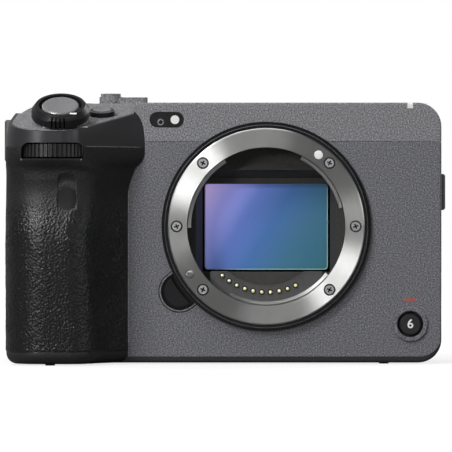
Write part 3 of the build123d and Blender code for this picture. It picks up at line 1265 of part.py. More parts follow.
def record_button():
    """Small dished button in its collar."""
    button = disc(RECORD_R, -SHELF_T - 1.5, COLLAR_H + 0.2)
    button -= Pos(0, 0, COLLAR_H + 8.0) * Sphere(8)
    return RECORD * button


def front_dial():
    """Toothed dial under the shelf that turns about an upright axle."""
    dial = toothed(DIAL_R, DIAL_TOOTH, DIAL_TEETH, 0, DIAL_T)
    return Pos(DIAL_X, DIAL_Y, DIAL_Z) * (dial - disc(AXLE_R + FIT, -1, DIAL_T + 1))


def rear_dial():
    """Toothed dial at the back of the top cover."""
    dial = toothed(REAR_DIAL_R, DIAL_TOOTH, DIAL_TEETH - 4, 0, REAR_DIAL_T)
    return Pos(REAR_DIAL_X, REAR_DIAL_Y, REAR_DIAL_Z) * (dial - disc(AXLE_R + FIT, -1, REAR_DIAL_T + 1))


def front_button():
    """Numbered button beside the mount, sunk in its rim."""
    cap = disc(FRONT_BUTTON_R, -WALL - GAP - FLANGE_T, 0.1)
    cap = chamfer(cap.edges().group_by(Axis.Z)[-1], 0.25)
    back = -WALL - GAP
    return FRONT_BUTTON * (cap + disc(FRONT_WELL_R + 0.5, back - FLANGE_T, back))


def power_lever():
    """Power switch: a hub with a flat arm and a small cap."""
    lever = disc(POWER_HUB_R, GAP, POWER_HUB_H)
    arm = Pos(POWER_ARM_L / 2, 0, 0) * Rectangle(POWER_ARM_L, POWER_ARM_W)
    arm = fillet(arm.vertices().group_by(Axis.X)[-1], 1.5)
    lever += Pos(0, 0, GAP) * extrude(arm, POWER_ARM_H - GAP)
    lever += disc(POWER_CAP_R, POWER_HUB_H - 0.1, POWER_HUB_H + POWER_CAP_H)
    return POWER * (lever + disc(AXLE_R, -WALL - 1, GAP + 0.1))


def control_wheel():
    """Flat ring on the back that turns round the centre button."""
    wheel = toothed(WHEEL_R, 0.35, WHEEL_TEETH, GAP, WHEEL_H)
    return WHEEL * (wheel - disc(WHEEL_BORE_R, -1, WHEEL_H + 1))


def wheel_button():
    """Button in the middle of the control wheel."""
    return WHEEL * push_button(WHEEL_BUTTON_R, WHEEL_H + 0.2)


def joystick_gimbal():
    """Ring that carries the joystick's cross axle, on two upright pins."""
    gimbal = ring(GIMBAL_IN_R, GIMBAL_OUT_R, -GIMBAL_T / 2, GIMBAL_T / 2)
    gimbal += gimbal_pins(GIMBAL_OUT_R - 0.5, GIMBAL_OUT_R + GAP + POST_T, GIMBAL_PIN_R)
    gimbal -= Rot(0, 0, 90) * gimbal_pins(1, GIMBAL_OUT_R + 1, GIMBAL_PIN_R + FIT)
    return STICK * Pos(0, 0, -STICK_PIVOT) * gimbal


def joystick_cap():
    """Dished thumb stick on its neck, with the cross axle."""
    top = STICK_PIVOT + STICK_RISE
    cap = disc(STICK_R, STICK_PIVOT + 1.2, top)
    cap = chamfer(cap.edges().group_by(Axis.Z)[-1], 0.35)
    cap -= Pos(0, 0, top + 11.4) * Sphere(12)
    cap += disc(STICK_NECK_R, -1.0, STICK_PIVOT + 1.4)
    cap += Rot(0, 0, 90) * gimbal_pins(1, GIMBAL_OUT_R - 0.3, GIMBAL_PIN_R)
    return STICK * Pos(0, 0, -STICK_PIVOT) * cap


def monitor_arm():
    """Upright hinge barrel of the monitor with the rod that carries the panel."""
    low, high = MONITOR_LOW_Z + EAR_T + GAP, MONITOR_HIGH_Z - EAR_T - GAP
    arm = Pos(HINGE_X, HINGE_Y, 0) * disc(HINGE_R, low, high)
    arm += Pos(HINGE_X, HINGE_Y, 0) * disc(HINGE_PIN_R, low - EAR_T + 0.5, high + EAR_T - 0.5)
    rod = facing(HINGE_X, HINGE_Y, (low + high) / 2, "left") * disc(TILT_ROD_R, 0, HINGE_R + 6)
    return arm + rod


def monitor_frame():
    """Moulded case of the monitor."""
    x0, x1 = CONTROL_RIGHT + MONITOR_GAP, HINGE_X - HINGE_R - MONITOR_GAP
    y0 = HINGE_Y - MONITOR_T / 2
    case = block(x0, x1, y0, y0 + MONITOR_T, MONITOR_LOW_Z, MONITOR_HIGH_Z)
    case = fillet(case.edges().filter_by(Axis.Y), MONITOR_R)
    case = fillet(case.faces().sort_by(Axis.Y)[-1].edges(), 1.0)
    case -= monitor_pane(FIT, FAR)
    middle = (MONITOR_LOW_Z + MONITOR_HIGH_Z) / 2
    return case - facing(HINGE_X, HINGE_Y, middle, "left") * disc(TILT_ROD_R + FIT, 0, HINGE_R + 6 + FIT)


def monitor_pane(gap, back):
    """The monitor's glass, or its seat when gap is added, as far back as back."""
    margin = GLASS_MARGIN - gap
    x0, x1 = CONTROL_RIGHT + MONITOR_GAP + margin, HINGE_X - HINGE_R - MONITOR_GAP - margin
    y0 = HINGE_Y + MONITOR_T / 2 - GLASS_T
    return block(x0, x1, y0, back, MONITOR_LOW_Z + margin, MONITOR_HIGH_Z - margin)


def monitor_glass():
    """Cover glass of the monitor."""
    return monitor_pane(0, HINGE_Y + MONITOR_T / 2 - 0.05)


def card_door():
    """Door over the card slots, hinged at its rear edge."""
    door = side_door(GRIP_LEFT + WALL / 2, CARD_BACK, CARD_FRONT, CARD_LOW, CARD_HIGH)
    return door - Pos(GRIP_LEFT, CARD_FRONT + DOOR_GAP, (CARD_LOW + CARD_HIGH) / 2) * Box(1.2, 2.4, 8.0)


def all_parts():
    """Every node's solids by name."""
    outside = housing_outside()
    skin = grip_skin()
    upper, lower = port_spans()[1], port_spans()[0]
    parts = {
        "front_cover": front_cover(outside),
        "rear_cover": rear_cover(outside),
        "top_cover": top_cover(outside),
        "base_plate": base_plate(outside),
        "grip_housing": grip_housing(),
        "grip_rubber": skin - remote_prism(FIT),
        "grip_head": grip_head(),
        "signal_windows": [lamp_window(), skin & remote_prism(0)],
        "front_lamps": front_lamps(outside),
        "mount_trim_ring": trim_ring(),
        "lens_mount": lens_mount(),
        "mount_screws": mount_screws(),
        "contact_block": contact_block(),
        "contact_pins": contact_pins(),
        "light_baffle": light_baffle(),
        "chassis_frame": chassis_frame(),
        "shutter_frame": shutter_frame(),
        "stabiliser_base": stabiliser_base(),
        "main_board": main_board(),
        "heat_sink": heat_sink(),
        "battery": battery(),
        "card_reader": card_reader(),
        "port_sockets": port_sockets(),
        "accessory_shoe": accessory_shoe(),
        "thread_bushes": thread_bushes(),
        "strap_lugs": strap_lugs(),
        "base_feet": base_feet(),
        "shutter_button": shutter_button(),
        "zoom_lever": zoom_lever(),
        "front_dial": front_dial(),
        "record_button": record_button(),
        "front_button": front_button(),
        "lens_release_button": lens_release_button(),
        "lens_lock_pin": lens_lock_pin(),
        "power_lever": power_lever(),
        "rear_dial": rear_dial(),
        "monitor_arm": monitor_arm(),
        "monitor_frame": monitor_frame(),
        "monitor_glass": monitor_glass(),
        "joystick_cap": joystick_cap(),
        "joystick_gimbal": joystick_gimbal(),
        "control_wheel": control_wheel(),
        "wheel_button": wheel_button(),
        "battery_door": battery_door(),
        "battery_latch": battery_latch(),
        "card_door": card_door(),
        "port_cover_upper": port_cover(upper),
        "port_cover_lower": port_cover(lower),
        "fan_rotor": fan_rotor(),
        "stabiliser_slide": stabiliser_slide(),
        "sensor_carriage": sensor_carriage(),
        "image_sensor": image_sensor(),
        "shutter_blade_front": shutter_blade(0),
        "shutter_blade_rear": shutter_blade(1),
    }
    for i, place in enumerate(TOP_BUTTONS):
        parts[f"top_button_{i + 1}"] = place * push_button(TOP_BUTTON_R, BUTTON_PROUD)
    for name, place in REAR_BUTTONS.items():
        parts[name] = place * push_button(REAR_BUTTON_R, BUTTON_PROUD)
    return parts


def main():
    """Writes one STEP file for each node."""
    os.makedirs("parts", exist_ok=True)
    for name, made in all_parts().items():
        pieces = made if isinstance(made, list) else [made]
        solids = [solid for piece in pieces for solid in piece.solids()]
        export_step(Compound(children=solids), f"parts/{name}.step")


main()
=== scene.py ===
"""Looks of the cinema camera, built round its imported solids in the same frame.

Lengths in this script are in millimetres and turn into metres when a mesh is made.
Angles are in degrees. The floor, the lamps and the camera are in metres from the start.
"""

import bpy
import json
import math
from mathutils import Matrix, Vector, noise
from mathutils.bvhtree import BVHTree


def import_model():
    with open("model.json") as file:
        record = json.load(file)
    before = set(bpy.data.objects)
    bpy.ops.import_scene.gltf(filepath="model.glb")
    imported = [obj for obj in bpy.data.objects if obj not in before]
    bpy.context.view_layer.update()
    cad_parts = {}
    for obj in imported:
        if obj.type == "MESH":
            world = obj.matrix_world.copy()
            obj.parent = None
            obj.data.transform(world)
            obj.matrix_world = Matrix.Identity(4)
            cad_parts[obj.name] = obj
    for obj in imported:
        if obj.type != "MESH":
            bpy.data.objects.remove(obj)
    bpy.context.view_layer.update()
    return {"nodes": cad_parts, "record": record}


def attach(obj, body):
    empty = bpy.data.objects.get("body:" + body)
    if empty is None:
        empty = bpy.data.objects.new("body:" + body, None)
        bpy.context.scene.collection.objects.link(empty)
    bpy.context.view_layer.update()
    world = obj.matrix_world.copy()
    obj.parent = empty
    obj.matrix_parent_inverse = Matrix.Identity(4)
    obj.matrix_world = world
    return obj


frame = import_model()
nodes = frame["nodes"]
MM = 0.001

# The solids' sizes and places that the pieces here are set against
AXIS_Z = 39.7  # the optical axis
FLANGE_Y = -27.0  # front of the lens mount
FRONT_Y = -24.0  # front cover
PANEL_Y = 29.0  # rear cover
BODY_TOP = 75.8
BODY_RIGHT = 51.1
GRIP_LEFT = -75.3
GRIP_JOIN = -40.3  # where the grip meets the front cover
GRIP_CORE = (-58.0, -22.0)  # x and y of a line up the inside of the grip
HEAD_Z = 62.8  # the seam under the grip's head
SENSOR_Y = -10.8
SENSOR_W = 36.2
SENSOR_H = 25.4
TRIM_R = 30.5
# radius of the painted highlight on the trim ring
TRIM_LINE_R = 29.5
SCREW_ORBIT = 26.05
SCREW_ANGLES = (0, 45, 135, 180, 225, 315)
INDEX_ORBIT = 25.8
INDEX_ANGLE = 53.8
RELEASE_R = 4.6
RELEASE_ANGLE = 216.9
RELEASE_ORBIT = TRIM_R + 1.1
PIN_COUNT = 10
PIN_ORBIT = 19.2
PIN_FIRST = 228.3
PIN_PITCH = 7.58
CONTACT_Y = -22.3
PIN_TOP_Y = CONTACT_Y - 0.45
SHELF_ANGLE = 14.2
RECORD_AT = (-47.8, -26.5, 72.06)
DIAL_SLOT = (-70.4, -53.3)  # the two ends of the front dial's slot
DIAL_SLOT_Z = 58.9  # its lower edge
FRONT_BUTTON = (42.0, 11.2)  # x and z
WINDOW_LENS = (-30.8, 70.1)
BUTTON_RISE = 0.4  # how far buttons and the screen's glass stand over their cover
MENU_BUTTON = (-35.0, 60.0)
FUNCTION_BUTTON = (-53.5, 46.5)
PLAY_BUTTON = (-36.0, 12.5)
DELETE_BUTTON = (-56.0, 12.5)
WHEEL_AT = (-46.0, 29.0)
STICK_AT = (-40.0, 53.0)
STICK_Y = 32.1
SCREEN_AT = (6.7, 34.25)
TOP_BUTTONS = ((-61.3, 5.0), (-54.1, 5.0))  # x and y, as in the next ones
POWER_PIVOT = (-46.1, 4.0)
TOP_BUSHES = ((22.0, -14.0), (37.6, 8.0), (-22.0, -14.0))
COVER_MIDDLE_Y = -11.7  # of both side covers
UPPER_COVER_Z = 33.2
LOWER_COVER_Z = 16.1
CARD_DOOR_AT = (17.5, 33.0)  # y and z
FEET_Z = -0.4  # the underside of the feet
OUTSIDE = 90  # how far off rays start, well outside the camera

# How the pieces here are made
SINK = 0.05  # how deep a mark reaches under its surface
MARK_RISE = 0.03
ICON_RISE = 0.04
FLUSH = 0.012  # rise of the painted shade ring round a screw
LINE_WIDTH = 0.16
NEAR_AXIS = 0.001  # radius at which a turned piece closes on its axis
SHARP = 32  # an edge with a larger angle than this stays sharp
NO_SHARP = 180


def polar(radius, angle):
    """A point on a circle."""
    return radius * math.cos(math.radians(angle)), radius * math.sin(math.radians(angle))


# The directions along and out of each side of the camera; the shelf leans to the front
SHELF_LEAN = polar(1.0, SHELF_ANGLE)
WAYS = {
    "front": ((1, 0, 0), (0, -1, 0)),
    "back": ((-1, 0, 0), (0, 1, 0)),
    "up": ((1, 0, 0), (0, 0, 1)),
    "down": ((1, 0, 0), (0, 0, -1)),
    "right": ((0, 1, 0), (1, 0, 0)),
    "left": ((0, -1, 0), (-1, 0, 0)),
    "shelf": ((1, 0, 0), (0, -SHELF_LEAN[1], SHELF_LEAN[0])),
}


def placed(along, out, spot):
    """A matrix at a point, whose local X points along and local Z out."""
    across = out.cross(along)
    return Matrix.Translation(spot) @ Matrix((along, across, out)).transposed().to_4x4()


def facing(x, y, z, way):
    """A matrix at a point whose local Z points out of that side."""
    along, out = (Vector(v) for v in WAYS[way])
    return placed(along, out, (x, y, z))


def turned(angle):
    """A turn about local Z."""
    return Matrix.Rotation(math.radians(angle), 4, "Z")


LENS = facing(0, FLANGE_Y, AXIS_Z, "front")
RECORD = facing(*RECORD_AT, "shelf")


# Nodes of materials
def feed(tree, node, values):
    """Link a node's inputs to sockets, or set them to plain values, in their order."""
    for socket, value in zip(node.inputs, values):
        if isinstance(value, bpy.types.NodeSocket):
            tree.links.new(value, socket)
        else:
            socket.default_value = value


def worked_out(tree, operation, *values):
    """The result of a Math node."""
    node = tree.nodes.new("ShaderNodeMath")
    node.operation = operation
    feed(tree, node, values)
    return node.outputs["Value"]


def vector_result(tree, operation, *values, result="Vector"):
    """The result of a Vector Math node."""
    node = tree.nodes.new("ShaderNodeVectorMath")
    node.operation = operation
    feed(tree, node, values)
    return node.outputs[result]


def coordinate(tree, where, axis):
    """One coordinate of a vector."""
    node = tree.nodes.new("ShaderNodeSeparateXYZ")
    tree.links.new(where, node.inputs["Vector"])
    return node.outputs[axis]


def rising(tree, value, low, high, top, bottom=0.0):
    """A value that rises from bottom to top while another goes from low to high."""
    node = tree.nodes.new("ShaderNodeMapRange")
    node.inputs["From Min"].default_value = low
    node.inputs["From Max"].default_value = high
    node.inputs["To Min"].default_value = bottom
    node.inputs["To Max"].default_value = top
    tree.links.new(value, node.inputs["Value"])
    return node.outputs["Result"]


def noise_value(tree, where, scale, detail=2.0, rough=0.5):
    """Noise over the surface, with its scale in cycles per millimetre."""
    node = tree.nodes.new("ShaderNodeTexNoise")
    node.inputs["Scale"].default_value = scale / MM
    node.inputs["Detail"].default_value = detail
    node.inputs["Roughness"].default_value = rough
    tree.links.new(where, node.inputs["Vector"])
    return node.outputs["Fac"]


def ramp(tree, value, stops):
    """A colour ramp through (position, colour) stops."""
    node = tree.nodes.new("ShaderNodeValToRGB")
    band = node.color_ramp
    while len(band.elements) < len(stops):
        band.elements.new(0.5)
    for element, (at, colour) in zip(band.elements, stops):
        element.position = at
        element.color = (*colour, 1.0)
    tree.links.new(value, node.inputs["Fac"])
    return node.outputs["Color"]


def add_bump(tree, shader, height, depth):
    """Bump of a given depth."""
    bump = tree.nodes.new("ShaderNodeBump")
    bump.inputs["Distance"].default_value = depth * MM
    tree.links.new(height, bump.inputs["Height"])
    tree.links.new(bump.outputs["Normal"], shader.inputs["Normal"])


# Materials
def base_material(name, roughness, metallic=0.0, specular=0.5, coat=0.0, coat_roughness=0.1):
    """A new material with plain values on its shader.

    It gives the material, its tree, its shader and the object coordinates.
    """
    mat = bpy.data.materials.new(name)
    mat.use_nodes = True
    tree = mat.node_tree
    shader = tree.nodes["Principled BSDF"]
    shader.inputs["Roughness"].default_value = roughness
    shader.inputs["Metallic"].default_value = metallic
    shader.inputs["Specular IOR Level"].default_value = specular
    shader.inputs["Coat Weight"].default_value = coat
    shader.inputs["Coat Roughness"].default_value = coat_roughness
    where = tree.nodes.new("ShaderNodeTexCoord").outputs["Object"]
    return mat, tree, shader, where


def shade(colour, share):
    """A colour made lighter or darker."""
    return [min(1.0, c * share) for c in colour]


def speckled(name, colour, roughness, change=0.22, flecks=0.5, depth=0.012, specular=0.35):
    """Powder coat: a fine texture whose tops are painted lighter as a painted highlight, the
    highest of them as pale flecks.
    """
    mat, tree, shader, where = base_material(name, roughness, specular=specular)
    fine = noise_value(tree, where, 2.5, detail=3.0, rough=0.6)
    # the lighter stops fall on the tops of the bump: painted highlight
    stops = [
        (0.34, shade(colour, 1 - change)),
        (0.50, colour),
        (0.62, shade(colour, 1 + change)),
        (0.72, shade(colour, 1 + change + flecks)),
    ]
    tree.links.new(ramp(tree, fine, stops), shader.inputs["Base Color"])
    add_bump(tree, shader, fine, depth)
    return mat


def mottled(name, colour, roughness, grain=0.9, change=0.12, depth=0.004, **shine):
    """A moulded or finished surface whose colour and texture vary a little."""
    mat, tree, shader, where = base_material(name, roughness, **shine)
    value = noise_value(tree, where, grain)
    stops = [(0.3, shade(colour, 1 - change)), (0.7, shade(colour, 1 + change))]
    tree.links.new(ramp(tree, value, stops), shader.inputs["Base Color"])
    add_bump(tree, shader, value, depth)
    return mat


def turned_metal(name, colour, roughness, anisotropic):
    """Metal turned about the optical axis: its fine rings draw highlights out radially."""
    mat, tree, shader, where = base_material(name, roughness, metallic=1.0)
    shader.inputs["Anisotropic"].default_value = anisotropic
    outward = vector_result(tree, "MULTIPLY_ADD", where, (1, 0, 1), (0, 0, -AXIS_Z * MM))
    tree.links.new(vector_result(tree, "NORMALIZE", outward), shader.inputs["Tangent"])
    value = noise_value(tree, where, 0.25)
    stops = [(0.3, shade(colour, 0.93)), (0.7, colour)]
    tree.links.new(ramp(tree, value, stops), shader.inputs["Base Color"])
    return mat


GRIP_GLOSS = 0.31  # roughness of the lower grip
GRIP_DULL = 0.60  # and of the grip under the front dial
DULL_FROM, DULL_TO = 42.0, 50.0  # heights between which it goes from one to the other


def leather(name):
    """Grained rubber: matt black, a little paler on top of its pebbles and duller high up."""
    mat, tree, shader, where = base_material(name, GRIP_GLOSS, specular=0.34)
    fine = noise_value(tree, where, 2.6, rough=0.6)
    stops = [(0.35, (0.0035, 0.0035, 0.004)), (0.68, (0.010, 0.010, 0.0107))]
    tree.links.new(ramp(tree, fine, stops), shader.inputs["Base Color"])
    add_bump(tree, shader, fine, 0.09)
    height = coordinate(tree, where, "Z")
    dull = rising(tree, height, DULL_FROM * MM, DULL_TO * MM, GRIP_DULL, GRIP_GLOSS)
    tree.links.new(dull, shader.inputs["Roughness"])
    return mat


def across_sensor(tree, where, right, down):
    """A value from 0 at the sensor's upper left, which grows by right and by down across it."""
    start = right / 2 + down / 2 + down / SENSOR_H * AXIS_Z
    x, z = coordinate(tree, where, "X"), coordinate(tree, where, "Z")
    along = worked_out(tree, "MULTIPLY_ADD", x, right / (SENSOR_W * MM), start)
    return worked_out(tree, "MULTIPLY_ADD", z, -down / (SENSOR_H * MM), along)


def sensor_coating(name):
    """Coated cover glass: violet at the upper left through blue to teal at the lower right; the
    pale violet at the upper left is partly the coating's colour and partly painted reflection.

    A weak glow of the same colours stands for the studio that the real glass reflects.
    """
    look = {"specular": 0.30, "coat": 0.2, "coat_roughness": 0.08}
    mat, tree, shader, where = base_material(name, 0.22, **look)
    # the light stops at the upper left are partly painted reflection
    stops = [
        (0.00, (0.72, 0.55, 1.0)),
        (0.16, (0.37, 0.37, 0.90)),
        (0.34, (0.120, 0.195, 0.54)),
        (0.52, (0.052, 0.130, 0.320)),
        (0.72, (0.042, 0.122, 0.200)),
        (1.00, (0.030, 0.112, 0.150)),
    ]
    colour = ramp(tree, across_sensor(tree, where, 0.70, 0.30), stops)
    tree.links.new(colour, shader.inputs["Base Color"])
    # painted glow: the glass shines in these colours without a lamp, a painted reflection
    tree.links.new(colour, shader.inputs["Emission Color"])
    shader.inputs["Emission Strength"].default_value = 0.38
    return mat


def sensor_edge(name):
    """Bevelled rim of the cover glass, painted pale as a highlight: lilac at the left, green at
    the right.
    """
    mat, tree, shader, where = base_material(name, 0.3)
    stops = [
        (0.0, (0.50, 0.42, 0.72)),
        (0.35, (0.42, 0.46, 0.66)),
        (0.7, (0.30, 0.52, 0.42)),
        (1.0, (0.30, 0.50, 0.40)),
    ]
    colour = ramp(tree, across_sensor(tree, where, 0.6, 0.4), stops)
    tree.links.new(colour, shader.inputs["Base Color"])
    return mat


# Each look: colour, roughness and what differs from the kind's own values
FEW_FLECKS = {"flecks": 0.2, "depth": 0.005}
SPECKLED = {
    "body_coat": ((0.106, 0.106, 0.117), 0.6, {"change": 0.6, "flecks": 1.1, "specular": 0.25}),
    "top_coat": ((0.146, 0.146, 0.153), 0.6, {"change": 0.6, "flecks": 1.1, "specular": 0.25}),
    "satin_head": ((0.020, 0.020, 0.022), 0.38, {"change": 0.12, **FEW_FLECKS, "specular": 0.45}),
    # a paler grey for moulded icons and rings, also used for painted highlights on seams, rims and
    # edges
    "edge_grey": ((0.17, 0.17, 0.175), 0.5, {"change": 0.5, "flecks": 0.8}),
    "base_black": ((0.013, 0.013, 0.014), 0.5, {"change": 0.15, **FEW_FLECKS}),
}
FINE_METAL = {"grain": 3.0, "change": 0.06, "depth": 0.001}
MOTTLED = {
    "black_plastic": ((0.013, 0.013, 0.014), 0.42, {"specular": 0.4}),
    "gloss_black": ((0.009, 0.009, 0.010), 0.20, {}),
    "lever_black": ((0.010, 0.010, 0.011), 0.42, {"specular": 0.15}),
    "deep_black": ((0.007, 0.007, 0.007), 0.8, {"specular": 0.15}),
    "chamber_black": ((0.034, 0.032, 0.030), 0.6, {"specular": 0.3}),
    "window_black": ((0.012, 0.012, 0.013), 0.28, {"specular": 0.35}),
    "block_grey": ((0.050, 0.050, 0.052), 0.5, {"specular": 0.35}),
    "soft_rubber": ((0.020, 0.020, 0.021), 0.65, {"specular": 0.3, "depth": 0.01}),
    "port_rubber": ((0.035, 0.035, 0.037), 0.6, {"specular": 0.3, "depth": 0.01}),
    "screw_steel": ((0.46, 0.46, 0.47), 0.48, {"metallic": 1.0, **FINE_METAL}),
    "dark_metal": ((0.14, 0.14, 0.145), 0.58, {"metallic": 0.85, **FINE_METAL}),
    "aluminium": ((0.52, 0.53, 0.55), 0.35, {"metallic": 1.0, **FINE_METAL, "change": 0.05}),
    "gilt": ((0.92, 0.82, 0.46), 0.30, {"metallic": 0.5, "grain": 3.0}),
    "grey_button": ((0.19, 0.19, 0.195), 0.36, {"metallic": 0.3, "grain": 2.0}),
    "dark_glass": ((0.006, 0.006, 0.008), 0.08, {"depth": 0.0005, "coat": 0.4}),
    "lamp_white": ((0.62, 0.62, 0.60), 0.4, {"change": 0.03}),
    "mark_white": ((0.66, 0.66, 0.66), 0.5, {"change": 0.03}),
    "mark_red": ((0.30, 0.060, 0.045), 0.55, {"change": 0.08}),
    "board": ((0.020, 0.075, 0.045), 0.45, {}),
}
MATERIALS = {
    "grip_rubber": leather("grip_rubber"),
    "mount_steel": turned_metal("mount_steel", (0.61, 0.61, 0.60), 0.37, 0.97),
    "sensor_coating": sensor_coating("sensor_coating"),
    "sensor_edge": sensor_edge("sensor_edge"),
}
for kind, looks in ((speckled, SPECKLED), (mottled, MOTTLED)):
    for name, (colour, roughness, more) in looks.items():
        MATERIALS[name] = kind(name, colour, roughness, **more)

# The nodes whose look isn't the one that the record gives them
NODE_MATERIALS = {
    "top_cover": "top_coat",
    "power_lever": "top_coat",
    "grip_head": "satin_head",
    "light_baffle": "chamber_black",
    "contact_block": "block_grey",
    "mount_trim_ring": "gloss_black",
    "lens_release_button": "gloss_black",
    "sensor_carriage": "deep_black",
    "shutter_frame": "deep_black",
    "shutter_blade_front": "deep_black",
    "shutter_blade_rear": "deep_black",
    "strap_lugs": "dark_metal",
    "thread_bushes": "dark_metal",
    "accessory_shoe": "dark_metal",
    "zoom_lever": "lever_black",
    "battery_door": "base_black",
    "signal_windows": "window_black",
    "base_plate": "base_black",
}
for part in frame["record"]["subparts"]:
    choice = NODE_MATERIALS.get(part["node"], part["material_slot"])
    for slot in nodes[part["node"]].material_slots:
        slot.material = MATERIALS[choice]


# Kinds of piece. They ride on camera_body where no body is named.
def made(name, verts, faces, material, place=None, body="camera_body", angle=SHARP):
    """A mesh piece that rides on a body; verts are in the frame that place gives."""
    move = place or Matrix.Identity(4)
    mesh = bpy.data.meshes.new(name)
    mesh.from_pydata([(move @ Vector(v)) * MM for v in verts], [], faces)
    mesh.validate()
    mesh.materials.append(MATERIALS[material])
    mesh.shade_smooth()
    mesh.set_sharp_from_angle(angle=math.radians(angle))
    obj = bpy.data.objects.new(name, mesh)
    bpy.context.scene.collection.objects.link(obj)
    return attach(obj, body)


def ring_piece(name, profile, material, place, body="camera_body", segments=96, angle=SHARP):
    """A piece turned about local Z from a closed (radius, height) profile."""
    verts, faces, n = [], [], len(profile)
    for i in range(segments):
        c, s = polar(1.0, 360 * i / segments)
        verts += [(r * c, r * s, h) for r, h in profile]
        a, b = i * n, (i + 1) % segments * n
        for k in range(n):
            m = (k + 1) % n
            faces.append((a + k, b + k, b + m, a + m))
    return made(name, verts, faces, material, place, body, angle)


def plain_ring(inner, outer, low, high):
    """The profile of a ring with four square edges."""
    return [(inner, low), (outer, low), (outer, high), (inner, high)]


def disc_piece(name, radius, low, high, edge, material, place, segments=32):
    """A round dot with a softened rim."""
    profile = [
        (NEAR_AXIS, low),
        (radius, low),
        (radius, high - edge),
        (radius - edge * 0.3, high - edge * 0.3),
        (radius - edge, high),
        (NEAR_AXIS, high),
    ]
    return ring_piece(name, profile, material, place, segments=segments)


def prism_piece(name, outline, low, high, material, place, body="camera_body"):
    """An outline raised along local Z."""
    n = len(outline)
    verts = [(x, y, low) for x, y in outline] + [(x, y, high) for x, y in outline]
    faces = [tuple(range(n - 1, -1, -1)), tuple(range(n, 2 * n))]
    faces += [(i, (i + 1) % n, n + (i + 1) % n, n + i) for i in range(n)]
    return made(name, verts, faces, material, place, body)


def white_mark(name, outline, place, body="camera_body", rise=MARK_RISE):
    """A thin printed mark."""
    return prism_piece(name, outline, -SINK, rise, "mark_white", place, body)


def hollow_piece(name, outer, inner, low, high, material, place, body):
    """A flat frame between two outlines with as many points."""
    n = len(outer)
    levels = ((outer, low), (outer, high), (inner, high), (inner, low))
    verts = [(x, y, z) for line, z in levels for x, y in line]
    faces = []
    for i in range(n):
        k = (i + 1) % n
        for a in range(4):
            b = (a + 1) % 4
            faces.append((a * n + i, a * n + k, b * n + k, b * n + i))
    return made(name, verts, faces, material, place, body)


def numeral(name, mark, size, place, body):
    """A plain numeral laid on a button."""
    text = bpy.data.curves.new(name, "FONT")
    text.body = mark
    text.size = size * MM
    text.align_x = text.align_y = "CENTER"
    text.extrude = MARK_RISE * MM
    text.offset = 0.05 * MM  # bolder strokes
    text.materials.append(MATERIALS["mark_white"])
    obj = bpy.data.objects.new(name, text)
    bpy.context.scene.collection.objects.link(obj)
    spot = place.copy()
    spot.translation *= MM
    obj.matrix_world = spot
    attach(obj, body)


# Outlines
def box_outline(width, height, x=0.0, y=0.0):
    """A rectangle round a point."""
    left, right, low, high = x - width / 2, x + width / 2, y - height / 2, y + height / 2
    return [(left, low), (right, low), (right, high), (left, high)]


def cross_outline(length, width):
    """A cross-head recess."""
    a, b = length / 2, width / 2
    corner = [(a, -b), (a, b), (b, b)]
    points = []
    for c, s in ((1, 0), (0, 1), (-1, 0), (0, -1)):
        points += [(c * x - s * y, s * x + c * y) for x, y in corner]
    return points


def pill_outline(width, height, corner, steps=6):
    """A rounded rectangle round the origin."""
    points = []
    for sx, sy, start in ((1, 1, 0), (-1, 1, 90), (-1, -1, 180), (1, -1, 270)):
        cx, cy = sx * (width / 2 - corner), sy * (height / 2 - corner)
        for i in range(steps + 1):
            x, y = polar(corner, start + 90 * i / steps)
            points.append((cx + x, cy + y))
    return points


def release_outline(extra):
    """The lens release button grown by extra, from the trim ring round to it again."""
    radius = RELEASE_R + extra
    start = math.sqrt((TRIM_R + 0.02) ** 2 - radius**2)
    arc = (polar(radius, a) for a in range(-90, 91, 6))
    points = [(start, -radius), *((RELEASE_ORBIT + x, y) for x, y in arc), (start, radius)]
    c, s = polar(1, RELEASE_ANGLE)
    return [(c * x - s * y, s * x + c * y) for x, y in points]


# Surfaces of the solids, for what is stuck on or laid over them
def surfaces(names):
    """A search tree over the faces of those nodes at rest, with the node of each face."""
    verts, faces, owners = [], [], []
    for name in names:
        node = nodes[name]
        start = len(verts)
        verts += [node.matrix_world @ v.co for v in node.data.vertices]
        faces += [tuple(start + i for i in face.vertices) for face in node.data.polygons]
        owners += [name] * len(node.data.polygons)
    return BVHTree.FromPolygons(verts, faces), owners


def seen_from_front(tree, x, z):
    """The point that shows there from the front and its outward normal, or None twice."""
    spot, normal, _, _ = tree.ray_cast(Vector((x, -OUTSIDE, z)) * MM, Vector((0, 1, 0)))
    if spot is None:
        return None, None
    return spot / MM, normal if normal.y < 0 else -normal


def stuck(name, tree, at, size, material, body="camera_body", rise=0.05):
    """A thin mark on the surface that shows at that place from the front."""
    spot, out = seen_from_front(tree, *at)
    if spot is None:
        return
    level = Vector((1, 0, 0))
    along = (level - out * level.dot(out)).normalized()
    prism_piece(name, box_outline(*size), -SINK, rise, material, placed(along, out, spot), body)


def ribbon(name, tree, points, material, rise=ICON_RISE):
    """A thin line through points seen from the front, laid on the surface behind them."""
    verts, faces = [], []
    for k, (x, z) in enumerate(points):
        spot, out = seen_from_front(tree, x, z)
        if spot is None:
            continue
        run = points[min(k + 1, len(points) - 1)][0] - points[max(k - 1, 0)][0]
        across = out.cross(Vector((run, 0, 0)).normalized()).normalized()
        for side, height in ((-1, -SINK), (-1, rise), (1, rise), (1, -SINK)):
            verts.append(spot + across * side * LINE_WIDTH / 2 + out * height)
    last = len(verts) // 4 - 1
    for k in range(last):
        for a in range(4):
            b = (a + 1) % 4
            faces.append((4 * k + a, 4 * k + 4 + a, 4 * k + 4 + b, 4 * k + b))
    faces += [(0, 1, 2, 3), tuple(4 * last + a for a in (3, 2, 1, 0))]
    return made(name, verts, faces, material)


